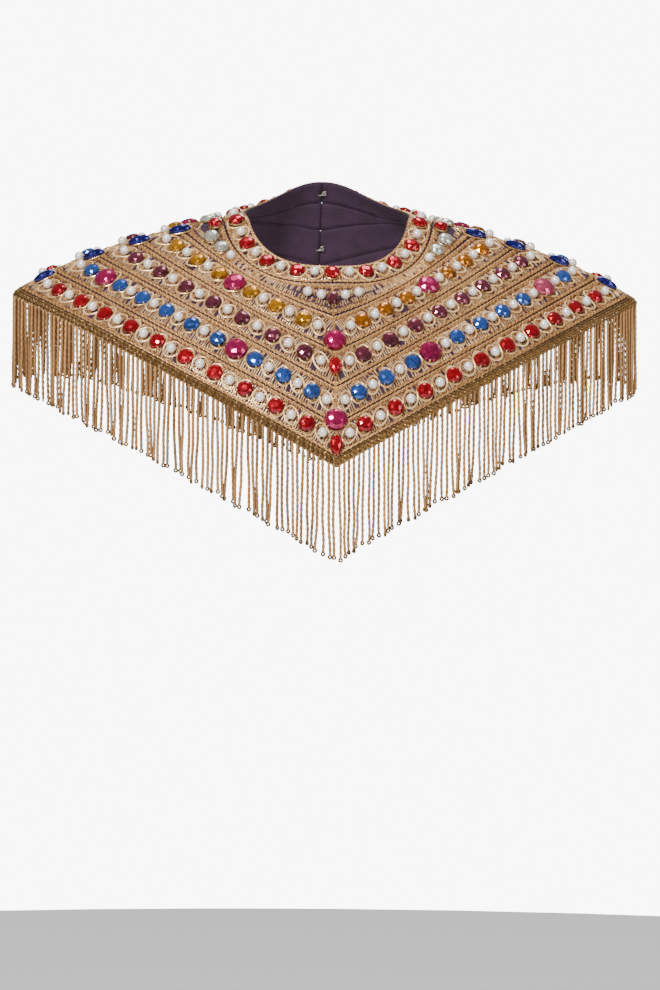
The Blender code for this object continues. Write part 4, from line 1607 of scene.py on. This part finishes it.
class CAPELET_OT_stage(CapeletOperator, bpy.types.Operator):
    """Make the floor, the lamps, the background and the camera"""
    bl_idname = "capelet.stage"
    bl_label = "Stage"

    def execute(self, context):
        stage = context.scene.capelet_stage
        self.lay_floor(stage)
        self.hang_lamps()
        self.light_world(context, stage)
        self.set_camera(context, stage)
        return {"FINISHED"}

    def hang_lamps(self):
        for lamp in LAMPS:
            data = bpy.data.lights.new(f"lamp_{lamp.name}", "AREA")
            data.shape = "DISK"
            data.size = lamp.size
            data.energy = lamp.watts
            made = put(f"lamp_{lamp.name}", data)
            made.location = lamp.place
            aim = LAMP_TARGET - Vector(lamp.place)
            made.rotation_euler = aim.to_track_quat("-Z", "Y").to_euler()

    def light_world(self, context, stage):
        """A background that lights the cape softly and looks brighter to the camera."""
        world = bpy.data.worlds.new("studio")
        world.use_nodes = True
        tree = world.node_tree
        background = tree.nodes["Background"]
        background.inputs["Color"].default_value = (*stage.world_colour, 1.0)
        seen = tree.nodes.new("ShaderNodeLightPath")
        strength = tree.nodes.new("ShaderNodeMapRange")
        strength.inputs["To Min"].default_value = stage.world_light
        strength.inputs["To Max"].default_value = stage.backdrop_light
        tree.links.new(seen.outputs["Is Camera Ray"], strength.inputs["Value"])
        tree.links.new(strength.outputs["Result"], background.inputs["Strength"])
        context.scene.world = world

    def lay_floor(self, stage):
        bm = bmesh.new()
        bmesh.ops.create_circle(bm, cap_ends=True, segments=96, radius=FLOOR_RADIUS)
        bmesh.ops.translate(bm, vec=(0, 0, stage.floor_height), verts=bm.verts)
        mesh = bpy.data.meshes.new("floor")
        bm.to_mesh(mesh)
        bm.free()
        mesh.materials.append(FINISHES["floor"]())
        put("floor", mesh)

    def set_camera(self, context, stage):
        data = bpy.data.cameras.new("camera")
        data.sensor_fit = "AUTO"
        data.sensor_width = LONG_SIDE
        data.lens = stage.lens
        camera = put("camera", data)
        away = Vector((-math.sin(stage.azimuth), -math.cos(stage.azimuth), 0)) * stage.distance
        camera.location = Vector((stage.aim_side, 0, stage.aim_height)) + away
        turn = Euler((math.pi / 2, 0, -stage.azimuth)).to_matrix() @ Matrix.Rotation(stage.roll, 3, "Z")
        camera.rotation_euler = turn.to_euler()
        context.scene.camera = camera


class CAPELET_PT_panel(bpy.types.Panel):
    bl_idname = "CAPELET_PT_panel"
    bl_label = "Fringed Capelet"
    bl_space_type = "VIEW_3D"
    bl_region_type = "UI"
    bl_category = "Capelet"

    def draw(self, context):
        for operator in OPERATORS:
            self.layout.operator(operator.bl_idname)
        for name in ("capelet_sizes", "capelet_colours", "capelet_stage"):
            group = getattr(context.scene, name)
            box = self.layout.box()
            for setting in group.__annotations__:
                box.prop(group, setting)


OPERATORS = (CAPELET_OT_braid, CAPELET_OT_set_stones, CAPELET_OT_fringe, CAPELET_OT_hooks,
             CAPELET_OT_stage)
CLASSES = (CapeletSizes, CapeletColours, CapeletStage, *OPERATORS, CAPELET_PT_panel)


def register():
    for item in CLASSES:
        bpy.utils.register_class(item)
    bpy.types.Scene.capelet_sizes = PointerProperty(type=CapeletSizes)
    bpy.types.Scene.capelet_colours = PointerProperty(type=CapeletColours)
    bpy.types.Scene.capelet_stage = PointerProperty(type=CapeletStage)


def unregister():
    del bpy.types.Scene.capelet_stage
    del bpy.types.Scene.capelet_colours
    del bpy.types.Scene.capelet_sizes
    for item in reversed(CLASSES):
        bpy.utils.unregister_class(item)


def main():
    register()
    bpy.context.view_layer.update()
    bpy.ops.capelet.braid()
    bpy.ops.capelet.set_stones()
    bpy.ops.capelet.fringe()
    bpy.ops.capelet.hooks()
    bpy.ops.capelet.stage()


if __name__ == "__main__":
    main()
